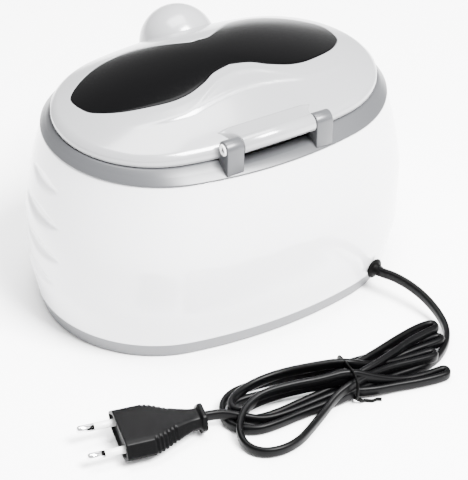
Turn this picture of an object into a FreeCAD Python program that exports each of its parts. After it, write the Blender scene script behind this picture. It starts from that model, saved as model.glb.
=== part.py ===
import FreeCAD, Part
import Sketcher
import math
import os

# Small bench-top ultrasonic cleaner: an oval tub under a hinged lid, controls in an egg-shaped
# pod at the front, mains lead folded up behind. Millimetres, +Z up, origin at the middle of the
# footprint on the bench, +X along the tub, -Y to the front, hinge at +Y.

Vector = FreeCAD.Vector
doc = FreeCAD.newDocument("UltrasonicCleaner")
sheet = doc.addObject("Spreadsheet::Sheet", "Sizes")

sizes = {
    # a text value is a formula on the others; plan ovals: four arcs, the end arcs' radius is the half depth less this
    "ovalDrop": 4, "wall": 2.4, "gap": 0.4,
    # feet and base tray
    "footHeight": 1, "footRadius": 6, "footRecess": 0.8, "footSetX": "=postX - 8",
    "footSetY": "=postY + 4", "trayLowLength": "=shellLength1 - 2.2",
    "trayLowDepth": "=shellDepth1 - 2.6", "trayLength": "=shellLength1 - 0.2",
    "trayDepth": "=shellDepth1 - 0.2", "trayTop": 9.5, "trayFloor": 2.4,
    # housing: half length and half depth at five heights
    "shellLength1": "=shellLength3 - 3.9", "shellDepth1": "=shellDepth3 - 5.8", "shellTop1": 34,
    "shellLength2": "=shellLength3 - 0.1", "shellDepth2": "=shellDepth3 - 0.4", "shellTop2": 59,
    "shellLength3": 107.3, "shellDepth3": 76, "shellTop3": "=shellTop - 23.8",
    "shellLength4": "=shellLength3 - 3.7", "shellDepth4": "=shellDepth3 - 3.4", "shellTop": 107.8,
    "shellLength5": "=shellLength3 - 10.3", "shellDepth5": "=shellDepth3 - 8.7",
    # top rim: bevelled ring, deck round the tank mouth, plug-in skirt
    "rimLength": "=shellLength5 + gap", "rimDepth": "=shellDepth5 + gap", "rimEdge": 0.8,
    "creaseLength": "=rimLength - 2.5", "creaseDepth": "=rimDepth - 4.3",
    "creaseTop": "=shellTop + 3.8", "crownLength": "=creaseLength - 2",
    "crownDepth": "=creaseDepth - 4", "rimTop": "=creaseTop + 3",
    "wellLength": "=crownLength - rimWidth", "wellDepth": "=crownDepth - rimWidth",
    "deckTop": "=shellTop - 0.8", "deckThick": 2.5, "rimWidth": 3.5, "deckEnd": 11.9,
    "deckSide": 9.4, "skirtDrop": 4,
    # tank: drawn steel pan hung by its flange
    "tankLength": "=wellLength - deckEnd", "tankDepth": "=wellDepth - deckSide", "tankDeep": 52,
    "tankWall": 0.8, "tankFlange": 5, "tankTaper": 4, "gasketThick": 1.2, "gasketInset": 1,
    # sandwich screws and posts
    "postX": "=shellLength3 - 37.3", "postY": "=shellDepth3 - 36", "postRadius": 4.5,
    "postTop": 45, "pilotRadius": 1.3, "screwRadius": "=pilotRadius + 0.2", "screwLength": 25,
    "headRadius": 2.8, "headHeight": 2, "headSeat": "=postTop - 15", "screwGap": 0.2,
    # lid
    "lidLength": "=crownLength - 0.9", "lidDepth": "=crownDepth - 0.9",
    "lidBottom": "=rimTop + gap", "lidEdge": 4.9, "domeHigh": 20.2, "domePower": 1.95,
    "lidWall": 2.2, "lipDrop": 3.5, "lipInset": 3.6, "lipWall": 1.6,
    # smoked window let into the lid
    "windowLong": "=lidLength - 14", "waistFront": -18.3, "waistBack": 12.9,
    "lobeFront": "=22.2 - lidDepth", "lobeBack": 23.2, "windowThick": 1.4, "windowGap": 0.25,
    "ledge": 3,
    # hinge
    "hingeY": "=lidDepth + 2.5", "hingeZ": "=lidBottom + 8", "barrelHalf": 21.3,
    "barrelRadius": 4.6, "earIn": 21.8, "earOut": 31.6, "pinRadius": 3.1, "pinBore": 1.6,
    "pinProud": 0.6, "pinFit": 0.06, "notchGap": 0.8,
    # pod and controls
    "podX": -12, "podY": "=13.5 - shellDepth3", "podZ": "=shellTop + 2.7", "podRadius": 21.5,
    "podFootX": -3, "podFootY": "=8 - shellDepth3", "podFootZ": "=podZ - 44.5",
    "podFootRadius": 12, "podWall": 2.4, "podGap": 0.9, "buttonRadius": 5.5, "buttonFit": 0.25,
    "buttonTravel": 1, "onX": -9.5, "onZ": "=podZ - 14", "offX": -5.6, "offZ": "=podZ - 32.5",
    "lampX": -7.6, "lampZ": "=podZ - 23.1", "lampRadius": 2, "buttonProud": 1.2, "capLong": 6.4,
    "plungerRadius": 2, "flangeRadius": "=buttonRadius + 0.9", "flangeThick": 1,
    # control board
    "panelX": -7.5, "panelWide": 26, "panelLow": "=podZ - 40", "panelHigh": 31, "boardThick": 1.6,
    "panelY": "=podY + 0.5", "switchSide": 6, "switchHigh": 3.4, "panelPost": 2.6,
    "panelScrew": 1.25, "panelScrewLong": 5.5, "panelInset": 3, "ledLong": 5,
    # generator board and its parts
    "boardLong": 92, "boardDeep": 60, "boardZ": 12, "boardPostRadius": 3, "boardHoleX": 42,
    "boardHoleY": 26, "coreLong": 25, "coreDeep": 20, "coreHigh": 21, "bobbinHigh": 13,
    "bulkRadius": 8, "bulkHigh": 24, "filmLong": 18, "filmDeep": 8, "filmHigh": 14,
    "sinkLong": 32, "sinkDeep": 12, "sinkHigh": 24, "finThick": 1.2, "fuseRadius": 2.6,
    "fuseLong": 20, "terminalLong": 15, "terminalDeep": 9, "terminalHigh": 10,
    # transducer
    "piezoRadius": 25, "piezoThick": 2.6, "leadRadius": 0.8,
    # cord entry
    "glandX": -65, "glandZ": 16.5, "glandRadius": 6, "glandNeck": "=glandRadius - 2",
    "glandLong": 11, "glandTip": "=cordRadius + 1", "cordRadius": 2.1,
    # mains plug, flat two-pin
    "plugX": 120.7, "plugY": 110.5, "plugZ": 9.1, "plugTurn": 169.8, "plugTilt": -1.5,
    "plugRoll": -8, "plugWide": 35.3, "plugHigh": 13.7, "plugBlock": 17, "plugLong": 46,
    "pinGap": 18.6, "plugPinRadius": 2, "pinLong": 19, "sleeveLong": 10, "pinDeep": 8,
    # folded lead and its tie
    "tieX": -4, "tieWide": 4, "tieThick": 1.2, "tieHalf": 10.5, "tieHigh": 12,
}
for row, alias in enumerate(sizes, start=1):
    sheet.set("A%d" % row, alias)
    sheet.setAlias("B%d" % row, alias)
for row, value in enumerate(sizes.values(), start=1):
    sheet.set("B%d" % row, str(value))
doc.recompute()
sizes = {alias: float(sheet.get(alias)) for alias in sizes}

nodes = []


def number(text):
    """The value of a sheet expression, such as 'Sizes.wall * 2'."""
    return float(sheet.evalExpression(text))


def plus(text, amount):
    return "(%s) + (%s)" % (text, amount)


def less(text, amount):
    return "(%s) - (%s)" % (text, amount)


def keep(thing, label):
    """Give a finished sub-part its name and list it for export."""
    thing.Label = label
    nodes.append(thing)
    return thing


# ---------------------------------------------------------------- sketch helpers

def newBody(name):
    return doc.addObject("PartDesign::Body", name)


def plane(body, role):
    return [f for f in body.Origin.OriginFeatures if f.Role == role][0]


def sketchOn(body, name, height="0", role="XY_Plane"):
    sketch = body.newObject("Sketcher::SketchObject", name)
    sketch.AttachmentSupport = [(plane(body, role), "")]
    sketch.MapMode = "FlatFace"
    sketch.setExpression("AttachmentOffset.Base.z", height)
    return sketch


def bind(sketch, kind, places, text):
    """One dimension, driven by the sheet."""
    index = sketch.addConstraint(Sketcher.Constraint(kind, *places, number(text)))
    sketch.setExpression("Constraints[%d]" % index, text)


def oval(body, name, length, depth, height):
    """Four tangent arcs, half length and half depth given as expressions."""
    sketch = sketchOn(body, name, height)
    endRadius = less(depth, "Sizes.ovalDrop")
    centre = "(%s) - (%s)" % (length, endRadius)
    sideRadius = ("((%s)^2 + (%s)^2 - (%s)^2) / (2 * Sizes.ovalDrop)"
                  % (centre, depth, endRadius))
    joint = "(%s) * (%%s) / ((%s) - (%s))" % (centre, sideRadius, endRadius)
    jointX = joint % sideRadius
    jointY = ("(%s) * ((%s) - (%s)) / ((%s) - (%s))"
              % (endRadius, sideRadius, depth, sideRadius, endRadius))
    end, side, mid, x, y = (number(t) for t in (endRadius, sideRadius, centre, jointX, jointY))
    low = number(depth) - side
    turn = math.atan2(y, x - mid)
    lean = math.atan2(y - low, x)
    up = Vector(0, 0, 1)
    arcs = [
        (Vector(mid, 0, 0), end, -turn, turn),
        (Vector(0, low, 0), side, lean, math.pi - lean),
        (Vector(-mid, 0, 0), end, math.pi - turn, math.pi + turn),
        (Vector(0, -low, 0), side, math.pi + lean, 2 * math.pi - lean),
    ]
    for where, radius, start, stop in arcs:
        sketch.addGeometry(Part.ArcOfCircle(Part.Circle(where, up, radius), start, stop), False)
    for i in range(4):
        sketch.addConstraint(Sketcher.Constraint("Coincident", i, 2, (i + 1) % 4, 1))
    sketch.addConstraint(Sketcher.Constraint("Symmetric", 0, 2, 1, 2, -2))
    sketch.addConstraint(Sketcher.Constraint("Symmetric", 0, 2, 0, 1, -1))
    sketch.addConstraint(Sketcher.Constraint("Symmetric", 1, 2, 2, 2, -1))
    sketch.addConstraint(Sketcher.Constraint("Equal", 0, 2))
    sketch.addConstraint(Sketcher.Constraint("Equal", 1, 3))
    bind(sketch, "DistanceX", (-1, 1, 0, 2), jointX)
    bind(sketch, "DistanceY", (-1, 1, 0, 2), jointY)
    bind(sketch, "Radius", (0,), endRadius)
    bind(sketch, "Radius", (1,), sideRadius)
    return sketch


def outline(body, name, points, height="0", role="XY_Plane"):
    """Closed straight-sided outline through points given as pairs of expressions."""
    sketch = sketchOn(body, name, height, role)
    spots = [Vector(number(a), number(b), 0) for a, b in points]
    count = len(spots)
    for i in range(count):
        sketch.addGeometry(Part.LineSegment(spots[i], spots[(i + 1) % count]), False)
    for i in range(count):
        sketch.addConstraint(Sketcher.Constraint("Coincident", i, 2, (i + 1) % count, 1))
    for i, (a, b) in enumerate(points):
        bind(sketch, "DistanceX", (-1, 1, i, 1), a)
        bind(sketch, "DistanceY", (-1, 1, i, 1), b)
    return sketch


def block(body, name, x0, x1, y0, y1, height="0", role="XY_Plane"):
    return outline(body, name, [(x0, y0), (x1, y0), (x1, y1), (x0, y1)], height, role)


def rounds(body, name, places, radius, height="0", role="XY_Plane"):
    """Equal circles at places given as pairs of expressions."""
    sketch = sketchOn(body, name, height, role)
    for i, (a, b) in enumerate(places):
        where = Vector(number(a), number(b), 0)
        sketch.addGeometry(Part.Circle(where, Vector(0, 0, 1), number(radius)), False)
        bind(sketch, "DistanceX", (-1, 1, i, 3), a)
        bind(sketch, "DistanceY", (-1, 1, i, 3), b)
        bind(sketch, "Radius", (i,), radius)
    return sketch


def extrude(body, kind, sketch, length, down=False, both=False):
    """A Pad or a Pocket of a sketch; 'both' goes half its length each way."""
    feature = body.newObject("PartDesign::" + kind, sketch.Name + kind)
    feature.Profile = sketch
    feature.setExpression("Length", length)
    feature.Reversed = down
    feature.Midplane = both
    doc.recompute()
    return feature


def loft(body, kind, sketches, ruled=False):
    feature = body.newObject("PartDesign::" + kind, sketches[0].Name + kind)
    feature.Profile = sketches[0]
    feature.Sections = sketches[1:]
    feature.Ruled = ruled
    doc.recompute()
    return feature


def corners(x, y):
    """The four places at plus and minus x and y."""
    return [(a, b) for a in (x, "-" + x) for b in (y, "-" + y)]


# ---------------------------------------------------------------- solid helpers

def solid(kind, name, values, place=("0", "0", "0"), turn=None):
    """A Part primitive whose sizes and place are expressions."""
    thing = doc.addObject("Part::" + kind, name)
    for key, text in values.items():
        thing.setExpression(key, text)
    if turn:
        thing.Placement = FreeCAD.Placement(Vector(), FreeCAD.Rotation(*turn))
    for axis, text in zip("xyz", place):
        thing.setExpression("Placement.Base." + axis, text)
    return thing


def box(name, x, y, z, length, depth, height):
    """A box centred on x and y, standing on z."""
    return solid("Box", name, {"Length": length, "Width": depth, "Height": height},
                 (less(x, "(%s) / 2" % length), less(y, "(%s) / 2" % depth), z))


def rod(name, x, y, z, radius, height, turn=None):
    return solid("Cylinder", name, {"Radius": radius, "Height": height}, (x, y, z), turn)


alongX = (Vector(0, 1, 0), 90)
alongY = (Vector(1, 0, 0), -90)


def cut(name, base, *tools):
    tool = tools[0] if len(tools) == 1 else fuse(name + "Tools", *tools)
    result = doc.addObject("Part::Cut", name)
    result.Base = base
    result.Tool = tool
    return result


def fuse(name, *parts):
    result = doc.addObject("Part::MultiFuse", name)
    result.Shapes = list(parts)
    return result


def group(name, parts):
    """Separate solids of one kind, kept together."""
    result = doc.addObject("Part::Compound", name)
    result.Links = list(parts)
    return result


def shaped(name, shape):
    """A form that is drawn in code from the sheet's sizes."""
    result = doc.addObject("Part::Feature", name)
    result.Shape = shape
    return result


def tube(points, radius):
    """Round tube: straight runs joined by tangent arcs as large as the runs allow."""
    spots = [Vector(*p) for p in points]
    edges = []
    radii = []
    here = spots[0]
    for before, corner, after in zip(spots, spots[1:], spots[2:]):
        back = (before - corner).normalize()
        ahead = (after - corner).normalize()
        half = (math.pi - back.getAngle(ahead)) / 2
        reach = 0.45 * min(corner.distanceToPoint(before), corner.distanceToPoint(after))
        radii.append(round(reach / math.tan(half), 1))
        start = corner + back * reach
        stop = corner + ahead * reach
        inward = (back + ahead).normalize()
        depth = reach / math.tan(half)
        centre = corner + inward * math.hypot(reach, depth)
        middle = centre - inward * depth
        edges.append(Part.LineSegment(here, start).toShape())
        edges.append(Part.Arc(start, middle, stop).toShape())
        here = stop
    edges.append(Part.LineSegment(here, spots[-1]).toShape())
    path = Part.Wire(edges)
    first = (spots[1] - spots[0]).normalize()
    ring = Part.Wire(Part.makeCircle(radius, spots[0], first))
    shape = path.makePipeShell([ring], True, True)
    print("tube radii", radii, "length", round(path.Length, 1),
          "volume share", round(shape.Volume / (math.pi * radius ** 2 * path.Length), 4))
    return shape


# ---------------------------------------------------------------- outer forms

shellLevels = [
    ("Sizes.shellLength1", "Sizes.shellDepth1", "Sizes.trayTop"),
    ("Sizes.shellLength2", "Sizes.shellDepth2", "Sizes.shellTop1"),
    ("Sizes.shellLength3", "Sizes.shellDepth3", "Sizes.shellTop2"),
    ("Sizes.shellLength4", "Sizes.shellDepth4", "Sizes.shellTop3"),
    ("Sizes.shellLength5", "Sizes.shellDepth5", "Sizes.shellTop"),
]


def shellForm(name, inset):
    body = newBody(name)
    sketches = [oval(body, name + "Oval%d" % i, less(a, inset), less(b, inset), c)
                for i, (a, b, c) in enumerate(shellLevels)]
    loft(body, "AdditiveLoft", sketches)
    return body


def eggShape(extra):
    """Egg of revolution: a big round head, a small round foot, straight flanks between."""
    head = Vector(sizes["podX"], sizes["podY"], sizes["podZ"])
    foot = Vector(sizes["podFootX"], sizes["podFootY"], sizes["podFootZ"])
    bigRadius = sizes["podRadius"] + extra
    smallRadius = sizes["podFootRadius"] + extra
    length = head.distanceToPoint(foot)
    lean = math.asin((bigRadius - smallRadius) / length)
    side = Vector(math.cos(lean), 0, -math.sin(lean))

    def onSphere(centre, radius, angle):
        return centre + Vector(math.cos(angle), 0, math.sin(angle)) * radius

    low = Vector(0, 0, -length)
    start = Vector(0, 0, bigRadius)
    tangentHead = side * bigRadius
    tangentFoot = low + side * smallRadius
    stop = low - Vector(0, 0, smallRadius)
    edges = [
        Part.Arc(start, onSphere(Vector(), bigRadius, math.pi / 4 - lean / 2), tangentHead),
        Part.LineSegment(tangentHead, tangentFoot),
        Part.Arc(tangentFoot, onSphere(low, smallRadius, -math.pi / 4 - lean / 2), stop),
        Part.LineSegment(stop, start),
    ]
    face = Part.Face(Part.Wire([e.toShape() for e in edges]))
    shape = face.revolve(Vector(), Vector(0, 0, 1), 360)
    turn = FreeCAD.Rotation(Vector(0, 0, -1), foot - head)
    shape.Placement = FreeCAD.Placement(head, turn)
    return Part.Solid(shape.Solids[0]) if shape.Solids else shape


def egg(name, extra):
    return shaped(name, eggShape(extra))


def windowWire(offset):
    """Peanut outline of the lid window, symmetric about X = 0, as one closed curve."""
    long = sizes["windowLong"] + offset
    front = sizes["lobeFront"] - offset
    back = sizes["lobeBack"] + offset
    half = [
        (0, sizes["waistFront"] - offset), (long * 0.26, front * 0.78), (long * 0.42, front),
        (long * 0.62, front), (long * 0.83, front * 0.8), (long * 0.98, front * 0.53),
        (long, front * 0.25), (long * 0.96, 2), (long * 0.81, back * 0.58),
        (long * 0.58, back * 0.93), (long * 0.41, back), (long * 0.24, back * 0.84),
        (0, sizes["waistBack"] + offset),
    ]
    mirrored = [(-x, y) for x, y in reversed(half[1:-1])]
    curve = Part.BSplineCurve()
    curve.interpolate([Vector(x, y, 0) for x, y in half + mirrored], True)
    return Part.Wire(curve.toShape())


def windowPrism(name, offset, low, high):
    shape = Part.Face(windowWire(offset)).extrude(Vector(0, 0, high - low))
    thing = shaped(name, shape)
    thing.Placement = FreeCAD.Placement(Vector(0, 0, low), FreeCAD.Rotation())
    return thing


# ---------------------------------------------------------------- base tray and feet

def baseTray():
    body = newBody("BaseTray")
    loft(body, "AdditiveLoft", [
        oval(body, "TrayLow", "Sizes.trayLowLength", "Sizes.trayLowDepth", "Sizes.footHeight"),
        oval(body, "TrayHigh", "Sizes.trayLength", "Sizes.trayDepth", "Sizes.trayTop")])
    floor = "Sizes.footHeight + Sizes.trayFloor"
    inner = oval(body, "TrayHollow", "Sizes.trayLowLength - Sizes.wall",
                 "Sizes.trayLowDepth - Sizes.wall", floor)
    extrude(body, "Pocket", inner, "Sizes.trayTop", down=True)
    posts = rounds(body, "TrayPosts", corners("Sizes.postX", "Sizes.postY"),
                   "Sizes.postRadius", floor)
    extrude(body, "Pad", posts, less("Sizes.postTop", floor))
    stands = rounds(body, "BoardStands", corners("Sizes.boardHoleX", "Sizes.boardHoleY"),
                    "Sizes.boardPostRadius", floor)
    extrude(body, "Pad", stands, less("Sizes.boardZ", floor))
    heads = rounds(body, "HeadBores", corners("Sizes.postX", "Sizes.postY"),
                   "Sizes.headRadius + Sizes.screwGap")
    extrude(body, "Pocket", heads, "Sizes.headSeat", down=True)
    shanks = rounds(body, "ShankBores", corners("Sizes.postX", "Sizes.postY"),
                    "Sizes.screwRadius + Sizes.screwGap")
    extrude(body, "Pocket", shanks, "Sizes.postTop + 1", down=True)
    pilots = rounds(body, "BoardPilots", corners("Sizes.boardHoleX", "Sizes.boardHoleY"),
                    "Sizes.screwRadius", "Sizes.boardZ")
    extrude(body, "Pocket", pilots, "6")
    recess = rounds(body, "FootRecesses", corners("Sizes.footSetX", "Sizes.footSetY"),
                    "Sizes.footRadius + Sizes.gap / 2", "0")
    extrude(body, "Pocket", recess, "Sizes.footHeight + Sizes.footRecess", down=True)
    slots = 7
    for i in range(slots):
        middle = "%s" % ((i - (slots - 1) / 2) * 7)
        slot = block(body, "Vent%d" % i, middle + " - 1.2", middle + " + 1.2", "-16", "16", "0")
        extrude(body, "Pocket", slot, floor + " + 1", down=True)
    keep(body, "base_tray")


def feet():
    names = ["foot_left_back", "foot_left_front", "foot_right_back", "foot_right_front"]
    for name, (x, y) in zip(names, corners("Sizes.footSetX", "Sizes.footSetY")):
        pad = rod(name + "_pad", x, y, "0", "Sizes.footRadius",
                  "Sizes.footHeight + Sizes.footRecess")
        keep(pad, name)


# ---------------------------------------------------------------- housing

def panelFixings():
    """X and Z of the control board's four screws."""
    columns = ("Sizes.panelX - Sizes.panelWide / 2 + Sizes.panelInset",
               "Sizes.panelX + Sizes.panelWide / 2 - Sizes.panelInset")
    rows = ("Sizes.panelLow + Sizes.panelInset",
            "Sizes.panelLow + Sizes.panelHigh - Sizes.panelInset")
    return [(x, z) for x in columns for z in rows]


def housing():
    outer = shellForm("HousingOuter", "0")
    inner = shellForm("HousingInner", "Sizes.wall")
    face = "Sizes.panelY - Sizes.boardThick"
    posts = [rod("PanelPost%d" % i, x, "-90", z, "Sizes.panelPost", plus(face, "90"), alongY)
             for i, (x, z) in enumerate(panelFixings())]
    inside = doc.addObject("Part::Common", "PanelPosts")
    inside.Base = fuse("PanelPostRods", *posts)
    inside.Tool = outer
    pilots = [rod("PanelPilot%d" % i, x, "Sizes.panelY - Sizes.panelScrewLong - 0.1", z,
                  "Sizes.panelScrew", "Sizes.panelScrewLong + 0.1", alongY)
              for i, (x, z) in enumerate(panelFixings())]
    holes = [rod("ButtonWay" + name, "Sizes.%sX" % name, "-90", "Sizes.%sZ" % name,
                 radius, "30", alongY)
             for name, radius in (("on", "Sizes.flangeRadius + 1"),
                                  ("off", "Sizes.flangeRadius + 1"),
                                  ("lamp", "Sizes.lampRadius + 1"))]
    holes.append(rod("GlandHole", "Sizes.glandX", "%s" % (glandSeat().y - 12), "Sizes.glandZ",
                     "Sizes.glandNeck + Sizes.gap / 4", "24", alongY))
    walls = fuse("HousingWithPosts", cut("HousingWall", outer, inner), inside)
    keep(cut("HousingShell", walls, *pilots, *holes), "housing_shell")
    return outer


def glandSeat():
    """Point on the housing's outside where the cord leaves, and so where its gland sits."""
    part = (sizes["glandZ"] - sizes["trayTop"]) / (sizes["shellTop1"] - sizes["trayTop"])
    depth = sizes["shellDepth1"] + (sizes["shellDepth2"] - sizes["shellDepth1"]) * part * 1.25
    length = sizes["shellLength1"] + (sizes["shellLength2"] - sizes["shellLength1"]) * part * 1.25
    end = depth - sizes["ovalDrop"]
    mid = length - end
    side = (mid ** 2 + depth ** 2 - end ** 2) / (2 * sizes["ovalDrop"])
    y = math.sqrt(side ** 2 - sizes["glandX"] ** 2) - (side - depth)
    return Vector(sizes["glandX"], y, sizes["glandZ"])


# ---------------------------------------------------------------- top rim, tank and gasket

def rimSolid(name):
    """The bevelled ring as a filled form, from the housing's top edge up."""
    body = newBody(name)
    loft(body, "AdditiveLoft", [
        oval(body, name + "Low", "Sizes.rimLength", "Sizes.rimDepth", "Sizes.shellTop"),
        oval(body, name + "Edge", "Sizes.rimLength", "Sizes.rimDepth",
             "Sizes.shellTop + Sizes.rimEdge"),
        oval(body, name + "Crease", "Sizes.creaseLength", "Sizes.creaseDepth", "Sizes.creaseTop"),
        oval(body, name + "Crown", "Sizes.crownLength", "Sizes.crownDepth", "Sizes.rimTop")],
        ruled=True)
    return body


def topRim():
    body = rimSolid("TopRim")
    skirt = oval(body, "RimSkirt", "Sizes.shellLength5 - Sizes.wall - Sizes.gap",
                 "Sizes.shellDepth5 - Sizes.wall - Sizes.gap", "Sizes.shellTop")
    extrude(body, "Pad", skirt, "Sizes.skirtDrop", down=True)
    well = oval(body, "RimWell", "Sizes.wellLength", "Sizes.wellDepth", "Sizes.deckTop")
    extrude(body, "Pocket", well, "Sizes.rimTop", down=True)
    under = oval(body, "RimUnder", "Sizes.shellLength5 - 2 * Sizes.wall - Sizes.gap",
                 "Sizes.shellDepth5 - 2 * Sizes.wall - Sizes.gap",
                 "Sizes.deckTop - Sizes.deckThick")
    extrude(body, "Pocket", under, "Sizes.shellTop")
    mouth = oval(body, "TankMouth", "Sizes.tankLength", "Sizes.tankDepth", "Sizes.rimTop")
    extrude(body, "Pocket", mouth, "40")
    bosses = rounds(body, "RimBosses", corners("Sizes.postX", "Sizes.postY"),
                    "Sizes.postRadius", "Sizes.deckTop - 1")
    extrude(body, "Pad", bosses, "Sizes.deckTop - 1 - Sizes.postTop", down=True)
    pilots = rounds(body, "RimPilots", corners("Sizes.postX", "Sizes.postY"),
                    "Sizes.screwRadius", "Sizes.postTop")
    extrude(body, "Pocket", pilots, "Sizes.headSeat + Sizes.screwLength - Sizes.postTop + 2",
            down=True)
    # hinge ears: upright plates with round tops, their backs dropping to the rim's edge
    back = "Sizes.hingeY + Sizes.barrelRadius"
    front = "Sizes.hingeY - Sizes.barrelRadius"
    foot = "Sizes.creaseTop - 2"
    for side, near, far in (("Left", "Sizes.earIn", "Sizes.earOut"),
                            ("Right", "-Sizes.earOut", "-Sizes.earIn")):
        web = block(body, "Ear" + side, near, far, front, back, foot)
        extrude(body, "Pad", web, less("Sizes.hingeZ", foot))
    ears = fuse("RimWithEars", body, *[
        solid("Cylinder", "EarTop" + side,
              {"Radius": "Sizes.barrelRadius", "Height": "Sizes.earOut - Sizes.earIn"},
              (place, "Sizes.hingeY", "Sizes.hingeZ"), alongX)
        for side, place in (("Left", "Sizes.earIn"), ("Right", "-Sizes.earOut"))])
    bore = rod("EarBore", "-Sizes.earOut - 1", "Sizes.hingeY", "Sizes.hingeZ",
               "Sizes.pinRadius", "2 * Sizes.earOut + 2", alongX)
    slot = box("HingeSlot", "0", "Sizes.hingeY", "Sizes.creaseTop",
               "2 * Sizes.earIn", "2 * (Sizes.barrelRadius + 0.8)", "20")
    keep(cut("RimBored", ears, bore, slot, egg("PodClear", number("Sizes.gap"))), "top_rim")


def tank():
    body = newBody("Tank")
    top = "Sizes.deckTop - Sizes.deckThick - Sizes.gasketThick"
    flange = oval(body, "TankFlange", plus("Sizes.tankLength", "Sizes.tankFlange"),
                  plus("Sizes.tankDepth", "Sizes.tankFlange"), less(top, "Sizes.tankWall"))
    extrude(body, "Pad", flange, "Sizes.tankWall")
    low = "%s - Sizes.tankDeep" % top
    wall = "Sizes.tankWall"
    loft(body, "AdditiveLoft", [
        oval(body, "PanTop", plus("Sizes.tankLength", wall), plus("Sizes.tankDepth", wall),
             less(top, "Sizes.tankWall / 2")),
        oval(body, "PanLow", "Sizes.tankLength + %s - Sizes.tankTaper" % wall,
             "Sizes.tankDepth + %s - Sizes.tankTaper" % wall, low)], ruled=True)
    loft(body, "SubtractiveLoft", [
        oval(body, "PanHollowTop", "Sizes.tankLength", "Sizes.tankDepth", top),
        oval(body, "PanHollowLow", "Sizes.tankLength - Sizes.tankTaper",
             "Sizes.tankDepth - Sizes.tankTaper", plus(low, wall))], ruled=True)
    keep(body, "tank")
    gasket = newBody("Gasket")
    ring = oval(gasket, "GasketOuter", "Sizes.tankLength + Sizes.tankFlange - Sizes.gasketInset",
                "Sizes.tankDepth + Sizes.tankFlange - Sizes.gasketInset", top)
    extrude(gasket, "Pad", ring, "Sizes.gasketThick")
    mouth = oval(gasket, "GasketInner", "Sizes.tankLength + Sizes.gasketInset",
                 "Sizes.tankDepth + Sizes.gasketInset", top)
    extrude(gasket, "Pocket", mouth, "2 * Sizes.gasketThick", down=True)
    keep(gasket, "tank_gasket")
    return low


# ---------------------------------------------------------------- lid, window and hinge pin

def domeLevel(share):
    """Height of the dome's skin at a share of the lid's half length, as an expression."""
    return ("Sizes.lidBottom + Sizes.lidEdge + Sizes.domeHigh * (1 - (%s)^Sizes.domePower)"
            % share)


def domeForm(name, inset):
    body = newBody(name)
    length = less("Sizes.lidLength", inset)
    depth = less("Sizes.lidDepth", inset)
    base = oval(body, name + "Base", length, depth, "Sizes.lidBottom")
    shoulder = oval(body, name + "Shoulder", length, depth,
                    "Sizes.lidBottom + Sizes.lidEdge - 1.6 - (%s)" % inset)
    loft(body, "AdditiveLoft", [base, shoulder], ruled=True)
    # the dome itself, through ovals that shrink toward the crown
    shares = (1, 0.9, 0.72, 0.5, 0.3, 0.12)
    levels = []
    for i, share in enumerate(shares):
        drop = "1.6 + (%s)" % inset if i == 0 else inset
        levels.append(oval(body, name + "Dome%d" % i, "(%s) * %s" % (length, share),
                           "(%s) * %s" % (depth, share) if share > 0.3 else
                           "Sizes.ovalDrop + (%s) * %s" % (depth, share * 0.6),
                           less(domeLevel(share), drop)))
    loft(body, "AdditiveLoft", levels)
    return body


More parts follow.
